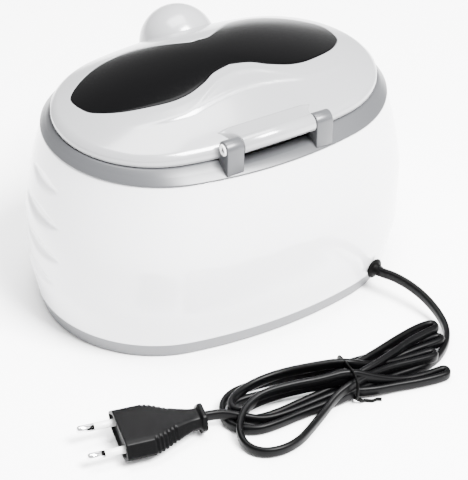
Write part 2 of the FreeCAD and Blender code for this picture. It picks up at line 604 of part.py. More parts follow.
def lid():
    outer = domeForm("LidOuter", "0")
    inner = domeForm("LidInner", "Sizes.lidWall")
    crown = sizes["lidBottom"] + sizes["lidEdge"] + sizes["domeHigh"] + 4
    opening = windowPrism("WindowOpening", -sizes["ledge"], sizes["lidBottom"] - 4, crown)
    rebateForm = domeForm("LidRebate", "Sizes.windowThick")
    rebate = cut("WindowRebate", windowPrism("RebateOutline", sizes["windowGap"],
                                             sizes["lidBottom"] - 4, crown), rebateForm)
    lipOuter = newBody("LidLip")
    ring = oval(lipOuter, "LipOuter", "Sizes.lidLength - Sizes.lipInset",
                "Sizes.lidDepth - Sizes.lipInset", "Sizes.lidBottom - Sizes.lipDrop")
    extrude(lipOuter, "Pad", ring, "Sizes.lipDrop + Sizes.lipWall")
    step = oval(lipOuter, "LipStep", "Sizes.lidLength - Sizes.lidWall / 3",
                "Sizes.lidDepth - Sizes.lidWall / 3", "Sizes.lidBottom")
    extrude(lipOuter, "Pad", step, "Sizes.lipWall")
    hollow = oval(lipOuter, "LipInner", "Sizes.lidLength - Sizes.lipInset - Sizes.lipWall",
                  "Sizes.lidDepth - Sizes.lipInset - Sizes.lipWall",
                  "Sizes.lidBottom - Sizes.lipDrop - 1")
    extrude(lipOuter, "Pocket", hollow, "Sizes.lipDrop + 5", down=True)
    shell = cut("LidShellBlank", outer, inner)
    # barrel with a fairing that runs forward onto the dome
    fairing = newBody("LidFairing")
    profile = outline(fairing, "FairingProfile", [
        ("Sizes.hingeY - 14", "Sizes.hingeZ + 2"), ("Sizes.hingeY - 11", "Sizes.hingeZ - 2.2"),
        ("Sizes.hingeY", "Sizes.hingeZ - 2.2"), ("Sizes.hingeY", "Sizes.hingeZ + 4.2"),
        ("Sizes.hingeY - 4", "Sizes.hingeZ + 4.2")], "0", "YZ_Plane")
    extrude(fairing, "Pad", profile, "2 * Sizes.barrelHalf", both=True)
    barrel = rod("Barrel", "-Sizes.barrelHalf", "Sizes.hingeY", "Sizes.hingeZ",
                 "Sizes.barrelRadius", "2 * Sizes.barrelHalf", alongX)
    whole = fuse("LidWhole", shell, lipOuter, fairing, barrel)
    bore = rod("BarrelBore", "-Sizes.barrelHalf - 1", "Sizes.hingeY", "Sizes.hingeZ",
               "Sizes.pinRadius + Sizes.pinFit", "2 * Sizes.barrelHalf + 2", alongX)
    notches = [box("EarNotch" + side, "%s(Sizes.earIn + Sizes.earOut) / 2" % sign,
                   "Sizes.hingeY + 10 - Sizes.barrelRadius - Sizes.notchGap",
                   "Sizes.lidBottom - Sizes.lipDrop - 2",
                   "Sizes.earOut - Sizes.earIn + 2 * (Sizes.earIn - Sizes.barrelHalf)", "20", "30")
               for side, sign in (("Left", ""), ("Right", "-"))]
    podNotch = egg("LidPodNotch", sizes["podGap"])
    keep(cut("LidShell", whole, opening, rebate, bore, podNotch, *notches), "lid_shell")
    # the window follows the same skin, a rebate's depth thick
    common = doc.addObject("Part::Common", "WindowSkin")
    common.Base = domeForm("WindowDome", "0")
    common.Tool = windowPrism("WindowOutline", 0, sizes["lidBottom"] - 4, crown)
    keep(cut("Window", common, domeForm("WindowUnder", "Sizes.windowThick")), "lid_window")


def hingePin():
    length = "2 * Sizes.earOut + 2 * Sizes.pinProud"
    start = "-Sizes.earOut - Sizes.pinProud"
    pin = rod("PinRod", start, "Sizes.hingeY", "Sizes.hingeZ", "Sizes.pinRadius", length, alongX)
    bore = rod("PinHole", start, "Sizes.hingeY", "Sizes.hingeZ", "Sizes.pinBore", length, alongX)
    keep(cut("HingePin", pin, bore), "hinge_pin")


# ---------------------------------------------------------------- pod, buttons, control board

def podFront(x, z):
    """How far forward the pod's skin stands at a place seen from the front."""
    line = Part.makeLine(Vector(sizes[x], -150, sizes[z]), Vector(sizes[x], -70, sizes[z]))
    hits = eggShape(0).common(line).Vertexes
    return min(v.Point.y for v in hits)


def controls(housingForm):
    shell = cut("PodHollow", egg("PodOuter", 0), egg("PodInner", -sizes["podWall"]))
    fronts = {name: podFront(name + "X", name + "Z") for name in ("on", "off", "lamp")}
    holes = []
    boardFront = "Sizes.panelY - Sizes.boardThick"
    for name, radius in (("on", "Sizes.buttonRadius + Sizes.buttonFit"),
                         ("off", "Sizes.buttonRadius + Sizes.buttonFit"),
                         ("lamp", "Sizes.lampRadius")):
        holes.append(rod("Hole_" + name, "Sizes.%sX" % name, "-110", "Sizes.%sZ" % name, radius,
                         "%s" % (110 + fronts[name] + 7), alongY))
    keep(cut("FrontPod", shell, housingForm, rimSolid("PodRimForm"), *holes), "front_pod")
    # cap in the pod's hole, a collar behind its wall and a stem that reaches its switch
    for name in ("on", "off"):
        x, z = "Sizes.%sX" % name, "Sizes.%sZ" % name
        face = "%s - Sizes.buttonProud" % fronts[name]
        cap = rod("Cap_" + name, x, face, z, "Sizes.buttonRadius",
                  "Sizes.capLong + Sizes.flangeThick", alongY)
        collar = rod("Collar_" + name, x, plus(face, "Sizes.capLong"), z, "Sizes.flangeRadius",
                     "Sizes.flangeThick", alongY)
        tip = "%s - Sizes.switchHigh - Sizes.buttonTravel - 0.2" % boardFront
        stem = rod("Stem_" + name, x, plus(face, "Sizes.capLong"), z, "Sizes.plungerRadius",
                   less(tip, plus(face, "Sizes.capLong")), alongY)
        keep(fuse("Button_" + name, cap, collar, stem), name + "_button")
        switch = box("Switch_" + name, x, "%s - Sizes.switchHigh / 2" % boardFront,
                     less(z, "Sizes.switchSide / 2"), "Sizes.switchSide", "Sizes.switchHigh",
                     "Sizes.switchSide")
        keep(switch, name + "_switch")
    # clear light pipe from the pod's face to the indicator diode
    lampFace = "%s" % (fronts["lamp"] - 0.4)
    ledTip = "%s - Sizes.ledLong" % boardFront
    pipe = rod("LightPipe", "Sizes.lampX", lampFace, "Sizes.lampZ", "Sizes.lampRadius",
               less("%s - 0.6" % ledTip, lampFace), alongY)
    keep(pipe, "indicator_lens")
    led = rod("Led", "Sizes.lampX", ledTip, "Sizes.lampZ", "1.5", "Sizes.ledLong", alongY)
    keep(led, "indicator_led")
    plate = box("PanelPlate", "Sizes.panelX", "Sizes.panelY - Sizes.boardThick / 2",
                "Sizes.panelLow", "Sizes.panelWide", "Sizes.boardThick", "Sizes.panelHigh")
    bores = []
    screws = []
    for i, (x, z) in enumerate(panelFixings()):
        bores.append(rod("PanelHole%d" % i, x, "Sizes.panelY - Sizes.boardThick - 1", z,
                         "Sizes.panelScrew + Sizes.screwGap", "Sizes.boardThick + 2", alongY))
        shank = rod("PanelShank%d" % i, x, "Sizes.panelY - Sizes.panelScrewLong", z,
                    "Sizes.panelScrew", "Sizes.panelScrewLong", alongY)
        head = rod("PanelHead%d" % i, x, "Sizes.panelY", z, "2 * Sizes.panelScrew", "1.5", alongY)
        screws.append(fuse("PanelScrew%d" % i, shank, head))
    keep(cut("ControlBoard", plate, *bores), "control_board")
    keep(group("PanelScrews", screws), "panel_screws")


# ---------------------------------------------------------------- generator board

def generator():
    top = "Sizes.boardZ + Sizes.boardThick"
    plate = box("BoardPlate", "0", "0", "Sizes.boardZ", "Sizes.boardLong", "Sizes.boardDeep",
                "Sizes.boardThick")
    holes = [rod("BoardHole%d" % i, x, y, "Sizes.boardZ - 1", "Sizes.screwRadius + Sizes.screwGap",
                 "Sizes.boardThick + 2")
             for i, (x, y) in enumerate(corners("Sizes.boardHoleX", "Sizes.boardHoleY"))]
    keep(cut("GeneratorBoard", plate, *holes), "generator_board")

    def screw(name, x, y, seat, length):
        """Pan-head screw, its head on 'seat'; a positive length runs upward."""
        up = length > 0
        shank = rod(name + "Shank", x, y, seat if up else less(seat, "%s" % -length),
                    "Sizes.screwRadius", "%s" % abs(length))
        head = rod(name + "Head", x, y, less(seat, "Sizes.headHeight") if up else seat,
                   "Sizes.headRadius", "Sizes.headHeight")
        return fuse(name, shank, head)

    boardScrews = [screw("BoardScrew%d" % i, x, y, top, -6)
                   for i, (x, y) in enumerate(corners("Sizes.boardHoleX", "Sizes.boardHoleY"))]
    keep(group("BoardScrews", boardScrews), "board_screws")
    caseScrews = [screw("CaseScrew%d" % i, x, y, "Sizes.headSeat", sizes["screwLength"])
                  for i, (x, y) in enumerate(corners("Sizes.postX", "Sizes.postY"))]
    keep(group("CaseScrews", caseScrews), "case_screws")

    # transformer: ferrite frame round a wound bobbin
    frame = box("CoreBlock", "20", "10", top, "Sizes.coreLong", "Sizes.coreDeep", "Sizes.coreHigh")
    window = box("CoreWindow", "20", "10", top + " + 4", "Sizes.coreLong - 8", "Sizes.coreDeep + 2",
                 "Sizes.bobbinHigh")
    keep(cut("TransformerCore", frame, window), "transformer_core")
    winding = box("Winding", "20", "10", top + " + 4", "Sizes.coreLong - 8", "Sizes.coreDeep + 6",
                  "Sizes.bobbinHigh")
    keep(winding, "transformer_winding")
    keep(rod("BulkCan", "-8", "-12", top, "Sizes.bulkRadius", "Sizes.bulkHigh"), "bulk_capacitor")
    keep(box("FilmBlock", "12", "-20", top, "Sizes.filmLong", "Sizes.filmDeep", "Sizes.filmHigh"),
         "film_capacitor")
    keep(box("SuppressorBlock", "-30", "-20", top, "Sizes.filmLong", "Sizes.filmDeep",
             "Sizes.filmHigh"), "suppressor_capacitor")
    # heat sink: a back plate with fins, the transistor clipped to its front
    plateY = "20"
    parts = [box("SinkPlate", "-14", plateY, top, "Sizes.sinkLong", "2", "Sizes.sinkHigh")]
    fins = 6
    for i in range(fins):
        x = "-14 + (%s) * (Sizes.sinkLong - Sizes.finThick)" % (i / (fins - 1) - 0.5)
        parts.append(box("Fin%d" % i, x, plateY + " + Sizes.sinkDeep / 2", top, "Sizes.finThick",
                         "Sizes.sinkDeep", "Sizes.sinkHigh"))
    keep(fuse("HeatSink", *parts), "heat_sink")
    keep(box("Transistor", "-14", plateY + " - 1 - 2.3", top + " + 4", "10", "4.6", "15"),
         "power_transistor")
    glass = rod("FuseGlass", "-44 + 2", "2", top + " + 5", "Sizes.fuseRadius - 0.2",
                "Sizes.fuseLong - 4", alongX)
    caps = [rod("FuseCap%d" % i, x, "2", top + " + 5", "Sizes.fuseRadius", "2", alongX)
            for i, x in enumerate(("-44", "-44 + Sizes.fuseLong - 2"))]
    keep(fuse("Fuse", glass, *caps), "fuse")
    clips = [box("FuseClip%d" % i, x, "2", top, "2", "7", "5 - Sizes.fuseRadius")
             for i, x in enumerate(("-43", "-44 + Sizes.fuseLong - 1"))]
    keep(group("FuseClips", clips), "fuse_clips")
    keep(box("Terminal", "-34", "14", top, "Sizes.terminalLong", "Sizes.terminalDeep",
             "Sizes.terminalHigh"), "mains_terminal")


def transducer(tankLow):
    disc = rod("PiezoDisc", "0", "0", less(tankLow, "Sizes.piezoThick"), "Sizes.piezoRadius",
               "Sizes.piezoThick")
    keep(disc, "piezo_disc")
    under = number(less(tankLow, "Sizes.piezoThick"))
    board = sizes["boardZ"] + sizes["boardThick"]
    routes = {
        "transducer_lead_live": [(6, -8, under), (6, -8, under - 9), (22, -13, board + 13),
                                 (36, -16, board + 10), (36, -16, board)],
        "transducer_lead_earth": [(14, -18, under), (14, -18, under - 9), (27, -22, board + 12),
                                  (38, -25, board + 9), (38, -25, board)],
    }
    for name, route in routes.items():
        keep(shaped(name, tube(route, sizes["leadRadius"])), name)


# ---------------------------------------------------------------- mains lead

def gland():
    """Moulded cord grommet: a flange outside, a waist in the wall and a short tapered nose."""
    seat = glandSeat()
    y = seat.y
    flange = rod("GlandFlange", "Sizes.glandX", "%s" % (y + 0.8), "Sizes.glandZ",
                 "Sizes.glandRadius", "2", alongY)
    waist = rod("GlandWaist", "Sizes.glandX", "%s" % (y - 6), "Sizes.glandZ", "Sizes.glandNeck",
                "6.8", alongY)
    back = rod("GlandBack", "Sizes.glandX", "%s" % (y - 8), "Sizes.glandZ", "Sizes.glandNeck + 1",
               "2.2", alongY)
    nose = solid("Cone", "GlandNose", {"Radius1": "Sizes.glandNeck", "Radius2": "Sizes.glandTip",
                                       "Height": "Sizes.glandLong - 2"},
                 ("Sizes.glandX", "%s" % (y + 2.8), "Sizes.glandZ"), alongY)
    keep(fuse("CordGrommet", flange, waist, back, nose), "cord_grommet")
    return Vector(seat.x, y + 0.8 + sizes["glandLong"], seat.z)


def plugPlacement():
    """Frame of the plug: +X out of its face along the pins, Y across them."""
    heading = FreeCAD.Rotation(Vector(0, 0, 1), sizes["plugTurn"] + 180)
    tilt = FreeCAD.Rotation(Vector(0, 1, 0), sizes["plugTilt"])
    roll = FreeCAD.Rotation(Vector(1, 0, 0), sizes["plugRoll"])
    return FreeCAD.Placement(Vector(sizes["plugX"], sizes["plugY"], sizes["plugZ"]),
                             heading.multiply(tilt).multiply(roll))


def plug():
    wide, high = sizes["plugWide"] / 2, sizes["plugHigh"] / 2
    place = plugPlacement()

    def section(back, halfWide, halfHigh, slope):
        """Flat-topped section whose sides slope out to a narrow edge at mid height."""
        edge = 0.1 * halfHigh
        spots = [(halfWide, edge), (halfWide - slope, halfHigh), (slope - halfWide, halfHigh),
                 (-halfWide, edge), (-halfWide, -edge), (slope - halfWide, -halfHigh),
                 (halfWide - slope, -halfHigh), (halfWide, -edge)]
        loop = [Vector(-back, y, z) for y, z in spots]
        return Part.makePolygon(loop + loop[:1])

    block, neckEnd, end = sizes["plugBlock"], sizes["plugLong"] - 4, sizes["plugLong"]
    front = Part.makeLoft([section(0, wide, high, 5.5),
                           section(block, wide - 1, high, 5.5)], True, True)
    neck = Part.makeLoft([section(block, wide - 1, high, 5.5),
                          section(block + 14, wide * 0.6, high * 0.78, 4),
                          section(neckEnd, wide * 0.36, high * 0.66, 2.4)], True, True)
    collar = Part.makeLoft([section(neckEnd, wide * 0.5, high * 0.86, 3.4),
                            section(end, wide * 0.46, high * 0.8, 3.2)], True, True)
    body = front.fuse([neck, collar]).removeSplitter()
    pins = []
    sleeves = []
    for side in (-1, 1):
        start = Vector(-sizes["pinDeep"], side * sizes["pinGap"] / 2, 0)
        pin = Part.makeCylinder(sizes["plugPinRadius"] - 0.15, sizes["pinDeep"] + sizes["pinLong"],
                                start, Vector(1, 0, 0))
        tip = Part.makeCylinder(sizes["plugPinRadius"], sizes["pinLong"] - sizes["sleeveLong"],
                                Vector(sizes["sleeveLong"], start.y, 0), Vector(1, 0, 0))
        pin = pin.fuse(tip).removeSplitter()
        sleeve = Part.makeCylinder(sizes["plugPinRadius"], sizes["pinDeep"] + sizes["sleeveLong"],
                                   start, Vector(1, 0, 0)).cut(pin)
        pins.append(pin)
        sleeves.append(sleeve)
        body = body.cut(Part.makeCylinder(sizes["plugPinRadius"], sizes["pinDeep"], start,
                                          Vector(1, 0, 0)))
    for name, shape in (("plug_body", body), ("plug_pins", Part.makeCompound(pins)),
                        ("plug_pin_sleeves", Part.makeCompound(sleeves))):
        thing = shaped(name, shape)
        thing.Placement = place
        keep(thing, name)
    return place.multVec(Vector(-sizes["plugLong"], 0, 0))


def hankShape():
    """Outer shape of the folded lead: a slab that is narrow at its tie and fans out leftward."""
    # x, middle y, half width, height, clear height below
    stations = [(-60, 134, 12, 8, 0), (-40, 130, 13, 10, 0),
                (sizes["tieX"], 129.5, sizes["tieHalf"], sizes["tieHigh"], sizes["tieThick"]),
                (24, 126, 17, 11, 0), (50, 128, 25, 9.5, 0), (72, 126, 24, 7, 0)]
    wires = []
    for x, y, wide, high, low in stations:
        arc = (high - low) / 2 - 0.1
        spots = [(y - wide, low + arc * 0.5), (y - wide + arc, low), (y + wide - arc, low),
                 (y + wide, low + arc * 0.5), (y + wide, high - arc), (y + wide - arc, high),
                 (y - wide + arc, high), (y - wide, high - arc)]
        loop = [Vector(x, a, b) for a, b in spots]
        wires.append(Part.makePolygon(loop + loop[:1]))
    return Part.makeLoft(wires, True, True)


def mainsLead():
    start = gland()
    end = plug()
    hank = hankShape()
    keep(shaped("cord_hank", hank), "cord_hank")
    radius = sizes["cordRadius"]
    route = [tuple(start), (-68, 85, 15.2), (-71, 94, 11), (-74.5, 103, 6.2), (-77, 112, 3.4),
             (-77.6, 121, 2.5), (-73, 129.5, 2.3), (-66, 133.5, 2.3), (-60, 134, 2.3)]
    keep(shaped("cord_lead", tube(route, radius)), "cord_lead")
    # short stretch between the folds and the plug
    near = Vector(72, 114.5, 4.2)
    middle = (near + end) * 0.5 + Vector(0.2, -0.4, 0.3)
    keep(shaped("cord_tail", tube([tuple(near), tuple(middle), tuple(end)], radius)), "cord_tail")
    # wire tie: a flat band round the bundle
    wide = sizes["tieHalf"] + sizes["tieThick"]
    band = Part.makeBox(sizes["tieWide"], 2 * wide, sizes["tieHigh"] + sizes["tieThick"],
                        Vector(sizes["tieX"] - sizes["tieWide"] / 2, 129.5 - wide, 0))
    keep(shaped("cord_tie", band.cut(hank)), "cord_tie")


# ---------------------------------------------------------------- build, check, write

baseTray()
feet()
housingForm = housing()
topRim()
tankLow = tank()
lid()
hingePin()
controls(housingForm)
generator()
transducer(tankLow)
mainsLead()
doc.recompute()

for thing in doc.Objects:
    if {"Invalid", "Error"} & set(thing.State):
        raise RuntimeError("%s (%s) failed: %s" % (thing.Name, thing.Label, thing.State))
for thing in nodes:
    if thing.Shape.isNull() or not thing.Shape.isValid():
        raise RuntimeError("%s has no valid shape" % thing.Label)

os.makedirs("parts", exist_ok=True)
for thing in nodes:
    thing.Shape.exportStep("parts/%s.step" % thing.Label)
    corner = thing.Shape.BoundBox
    print("%-24s solids %d volume %9.0f  z %.1f..%.1f" % (
        thing.Label, len(thing.Shape.Solids), thing.Shape.Volume, corner.ZMin, corner.ZMax))
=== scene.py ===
import bpy
import bmesh
import math
from mathutils import Matrix, Vector


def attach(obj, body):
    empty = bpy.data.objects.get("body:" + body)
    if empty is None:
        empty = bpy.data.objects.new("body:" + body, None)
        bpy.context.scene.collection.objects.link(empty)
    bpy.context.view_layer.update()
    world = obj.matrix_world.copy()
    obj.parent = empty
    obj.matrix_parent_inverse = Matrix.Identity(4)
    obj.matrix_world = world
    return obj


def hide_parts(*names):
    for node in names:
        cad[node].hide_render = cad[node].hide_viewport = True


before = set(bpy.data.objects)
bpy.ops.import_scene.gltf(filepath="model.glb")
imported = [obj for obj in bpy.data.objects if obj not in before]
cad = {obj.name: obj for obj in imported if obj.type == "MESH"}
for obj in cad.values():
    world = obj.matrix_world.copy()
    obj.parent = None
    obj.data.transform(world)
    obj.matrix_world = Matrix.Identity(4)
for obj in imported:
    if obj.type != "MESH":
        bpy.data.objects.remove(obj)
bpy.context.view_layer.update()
print("frame loaded:", len(cad), "nodes")


mm = 0.001  # sizes below are in millimetres


def place(mesh, name, body, slot, *nodes):
    # a finished piece: rides its body and stands for its CAD nodes
    item = bpy.data.objects.new(name, mesh)
    bpy.context.scene.collection.objects.link(item)
    return settle(item, body, slot, *nodes)


def settle(item, body, slot, *nodes):
    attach(item, body)
    if nodes:
        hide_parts(*nodes)
    return item


def toMesh(bm, name, material, smooth=True):
    bmesh.ops.remove_doubles(bm, verts=bm.verts, dist=1e-6)
    bmesh.ops.recalc_face_normals(bm, faces=bm.faces)
    mesh = bpy.data.meshes.new(name)
    bm.to_mesh(mesh)
    bm.free()
    mesh.materials.append(material)
    for face in mesh.polygons:
        face.use_smooth = smooth
    return mesh


def modifier(item, kind, name, **values):
    added = item.modifiers.new(name, kind)
    for key, value in values.items():
        setattr(added, key, value)
    return added


def ovalPoint(halfLength, halfDepth, share, drop=0.004):
    # a place on a four-arc oval, share 0 to 1 round it from +X towards +Y
    end = halfDepth - drop
    mid = halfLength - end
    side = (mid * mid + halfDepth * halfDepth - end * end) / (2 * drop)
    jointX = mid * side / (side - end)
    jointY = end * (side - halfDepth) / (side - end)
    turn = math.atan2(jointY, jointX - mid)
    lean = math.atan2(jointX, jointY + side - halfDepth)
    lengths = [turn * end, lean * side * 2, turn * end * 2, lean * side * 2, turn * end]
    along = (share % 1.0) * sum(lengths)
    for step, length in enumerate(lengths):
        if along <= length or step == 4:
            break
        along -= length
    if step in (0, 2, 4):
        angle = {0: 0, 2: math.pi - turn, 4: -turn}[step] + along / end
        middle = -mid if step == 2 else mid
        return Vector((middle + end * math.cos(angle), end * math.sin(angle), 0))
    angle = {1: math.pi / 2 - lean, 3: 1.5 * math.pi - lean}[step] + along / side
    low = (halfDepth - side) * (1 if step == 1 else -1)
    return Vector((side * math.cos(angle), low + side * math.sin(angle), 0))


def turnOf(vert):
    # a vertex's angle about Z, from 0 to a full turn
    return math.atan2(vert.co.y, vert.co.x) % (2 * math.pi)


def joinTo(bm, other):
    # one bmesh added to another
    scratch = bpy.data.meshes.new("scratch")
    other.to_mesh(scratch)
    other.free()
    bm.from_mesh(scratch)
    bpy.data.meshes.remove(scratch)


def ringStack(rings, capFirst=False, capLast=False):
    # a skin through rings of places in millimetres, each ring extruded from the one before
    count = len(rings[0])
    bm = bmesh.new()
    made = bmesh.ops.create_circle(bm, cap_ends=False, segments=count, radius=1)
    loops = [sorted(made["verts"], key=turnOf)]
    edges = list({e for v in loops[0] for e in v.link_edges})
    ends = [edges]
    for _ in rings[1:]:
        grown = bmesh.ops.extrude_edge_only(bm, edges=edges)["geom"]
        verts = [g for g in grown if isinstance(g, bmesh.types.BMVert)]
        fresh = set(verts)
        edges = [g for g in grown if isinstance(g, bmesh.types.BMEdge)
                 and all(v in fresh for v in g.verts)]
        loops.append(sorted(verts, key=turnOf))
    for loop, spots in zip(loops, rings):
        for vert, spot in zip(loop, spots):
            vert.co = Vector(spot) * mm
    if capFirst:
        bmesh.ops.edgeloop_fill(bm, edges=ends[0])
    if capLast:
        bmesh.ops.edgeloop_fill(bm, edges=edges)
    return bm


def lathe(profile, count=48):
    # a turned form about its own X axis from (along, radius) pairs in millimetres
    bm = bmesh.new()
    ring = []
    for along, radius in profile:
        ring.append(bm.verts.new((along * mm, radius * mm, 0)))
    edges = [bm.edges.new(pair) for pair in zip(ring, ring[1:])]
    bmesh.ops.spin(bm, geom=ring + edges, cent=(0, 0, 0), axis=(1, 0, 0), angle=2 * math.pi,
                   steps=count, use_merge=True)
    return bm


def ease(t):
    t = min(1, max(0, t))
    return t * t * (3 - 2 * t)


def hermite(points, x):
    # smooth curve through (x, y) pairs, no overshoot
    pairs = list(zip(points, points[1:]))
    slopes = [(b[1] - a[1]) / (b[0] - a[0]) for a, b in pairs]
    inner = [0 if p * q <= 0 else 2 * p * q / (p + q) for p, q in zip(slopes, slopes[1:])]
    lean = [slopes[0]] + inner + [slopes[-1]]
    for i, (a, b) in enumerate(pairs):
        if x <= b[0] or i == len(pairs) - 1:
            wide = b[0] - a[0]
            t = min(1, max(0, (x - a[0]) / wide))
            return ((2 * t ** 3 - 3 * t ** 2 + 1) * a[1]
                    + (t ** 3 - 2 * t ** 2 + t) * wide * lean[i]
                    + (3 * t ** 2 - 2 * t ** 3) * b[1]
                    + (t ** 3 - t ** 2) * wide * lean[i + 1])


def finish(name, color, rough, metal=0.0, coat=0.0, grain=0.0, grainSize=400.0, tint=0.03,
           tintSize=18.0, bump=0.15, wear=0.06, shine=0.5):
    # moulded or metal surface: slight colour drift, uneven gloss and a fine grain
    material = bpy.data.materials.new(name)
    material.use_nodes = True
    nodes = material.node_tree.nodes
    links = material.node_tree.links
    shader = nodes["Principled BSDF"]
    shader.inputs["Metallic"].default_value = metal
    shader.inputs["Coat Weight"].default_value = coat
    shader.inputs["Specular IOR Level"].default_value = shine
    shader.inputs["Coat Roughness"].default_value = 0.08
    where = nodes.new("ShaderNodeTexCoord")
    cloud = nodes.new("ShaderNodeTexNoise")
    cloud.inputs["Scale"].default_value = tintSize
    cloud.inputs["Detail"].default_value = 3
    links.new(where.outputs["Object"], cloud.inputs["Vector"])
    ramp = nodes.new("ShaderNodeValToRGB")
    ramp.color_ramp.elements[0].position = 0.3
    ramp.color_ramp.elements[1].position = 0.7
    ramp.color_ramp.elements[0].color = [c * (1 - tint) for c in color] + [1]
    ramp.color_ramp.elements[1].color = [min(1, c * (1 + tint)) for c in color] + [1]
    links.new(cloud.outputs["Fac"], ramp.inputs["Fac"])
    links.new(ramp.outputs["Color"], shader.inputs["Base Color"])
    speck = nodes.new("ShaderNodeTexNoise")
    speck.inputs["Scale"].default_value = grainSize
    speck.inputs["Detail"].default_value = 4
    links.new(where.outputs["Object"], speck.inputs["Vector"])
    gloss = nodes.new("ShaderNodeMapRange")
    gloss.inputs["From Min"].default_value = 0.25
    gloss.inputs["From Max"].default_value = 0.75
    gloss.inputs["To Min"].default_value = max(0.02, rough - wear)
    gloss.inputs["To Max"].default_value = rough + wear
    links.new(speck.outputs["Fac"], gloss.inputs["Value"])
    links.new(gloss.outputs["Result"], shader.inputs["Roughness"])
    if grain > 0:
        raised = nodes.new("ShaderNodeBump")
        raised.inputs["Strength"].default_value = bump
        raised.inputs["Distance"].default_value = grain
        links.new(speck.outputs["Fac"], raised.inputs["Height"])
        links.new(raised.outputs["Normal"], shader.inputs["Normal"])
    return material


def brushed(name, color, rough, stretch):
    # drawn or brushed metal: fine lines along one direction
    material = finish(name, color, rough, metal=1.0, tint=0.05, wear=0.05)
    nodes = material.node_tree.nodes
    links = material.node_tree.links
    lines = nodes.new("ShaderNodeTexNoise")
    lines.inputs["Scale"].default_value = 900
    mapping = nodes.new("ShaderNodeMapping")
    mapping.inputs["Scale"].default_value = stretch
    links.new(nodes["Texture Coordinate"].outputs["Object"], mapping.inputs["Vector"])
    links.new(mapping.outputs["Vector"], lines.inputs["Vector"])
    raised = nodes.new("ShaderNodeBump")
    raised.inputs["Strength"].default_value = 0.12
    raised.inputs["Distance"].default_value = 0.00003
    links.new(lines.outputs["Fac"], raised.inputs["Height"])
    links.new(raised.outputs["Normal"], nodes["Principled BSDF"].inputs["Normal"])
    return material


finishes = {
    "whiteGloss": finish("whiteGloss", (0.60, 0.60, 0.615), 0.14, coat=0.4, tint=0.008,
                         wear=0.015),
    "rimGrey": finish("rimGrey", (0.045, 0.046, 0.049), 0.3, metal=0.15, tint=0.003, wear=0.004,
                      shine=0.3),
    "baseGrey": finish("baseGrey", (0.075, 0.077, 0.082), 0.45, grain=0.00002, grainSize=1800),
    "lidGrey": finish("lidGrey", (0.21, 0.212, 0.218), 0.2, coat=0.3, metal=0.1, tint=0.008,
                      wear=0.015),
    "smoked": finish("smoked", (0.0008, 0.0008, 0.0009), 0.22, coat=0.0, tint=0.1, wear=0.02,
                     shine=0.05),
    "podSilver": finish("podSilver", (0.23, 0.232, 0.238), 0.24, coat=0.3, metal=0.1, tint=0.008,
                        wear=0.015),
    "pinWhite": finish("pinWhite", (0.80, 0.80, 0.80), 0.35, tint=0.02),
    "buttonGrey": finish("buttonGrey", (0.12, 0.122, 0.128), 0.4, grain=0.00002, grainSize=2200),
    "lensClear": finish("lensClear", (0.75, 0.80, 0.84), 0.08, coat=0.6),
    "rubberBlack": finish("rubberBlack", (0.001, 0.001, 0.001), 0.5, grain=0.00002,
                          grainSize=1500, tint=0.15, shine=0.03),
    "cordBlack": finish("cordBlack", (0.0008, 0.0008, 0.0009), 0.34, tint=0.2, wear=0.04,
                        shine=0.05),
    "plugBlack": finish("plugBlack", (0.0009, 0.0009, 0.001), 0.4, grain=0.00002, grainSize=1600,
                        tint=0.15, shine=0.05),
    "sleeveGrey": finish("sleeveGrey", (0.62, 0.62, 0.61), 0.35, tint=0.02),
    "nickel": finish("nickel", (0.82, 0.82, 0.83), 0.14, metal=1.0, tint=0.02),
    "stainless": brushed("stainless", (0.62, 0.62, 0.63), 0.28, (1, 1, 0.05)),
    "gasketWhite": finish("gasketWhite", (0.6, 0.6, 0.6), 0.6, grain=0.00004),
    "ceramic": finish("ceramic", (0.55, 0.52, 0.44), 0.4, metal=0.6, grain=0.00005, grainSize=900),
    "boardGreen": finish("boardGreen", (0.03, 0.16, 0.06), 0.35, coat=0.3, tint=0.15,
                         grain=0.00004),
    "zincSteel": brushed("zincSteel", (0.60, 0.60, 0.61), 0.35, (1, 0.1, 1)),
    "ferrite": finish("ferrite", (0.05, 0.05, 0.055), 0.6, grain=0.0001, grainSize=700, tint=0.2),
    "copperTape": brushed("copperTape", (0.62, 0.30, 0.12), 0.4, (0.1, 0.1, 4)),
    "canBlue": finish("canBlue", (0.02, 0.03, 0.14), 0.3, coat=0.4, tint=0.1),
    "dippedRed": finish("dippedRed", (0.40, 0.06, 0.03), 0.35, coat=0.3, grain=0.0002,
                        grainSize=200),
    "boxYellow": finish("boxYellow", (0.70, 0.48, 0.05), 0.4, tint=0.04, grain=0.00005),
    "extruded": brushed("extruded", (0.68, 0.68, 0.70), 0.35, (1, 1, 0.08)),
    "epoxyBlack": finish("epoxyBlack", (0.015, 0.015, 0.016), 0.55, grain=0.00008,
                         grainSize=1200, tint=0.1),
    "brassClip": finish("brassClip", (0.62, 0.46, 0.18), 0.3, metal=1.0, tint=0.05),
    "fuseGlass": finish("fuseGlass", (0.70, 0.73, 0.75), 0.06, coat=0.6),
    "blockGreen": finish("blockGreen", (0.05, 0.26, 0.10), 0.4, grain=0.00005),
    "wireRed": finish("wireRed", (0.40, 0.02, 0.02), 0.45, tint=0.08),
    "wireBlack": finish("wireBlack", (0.02, 0.02, 0.02), 0.45, tint=0.1),
}

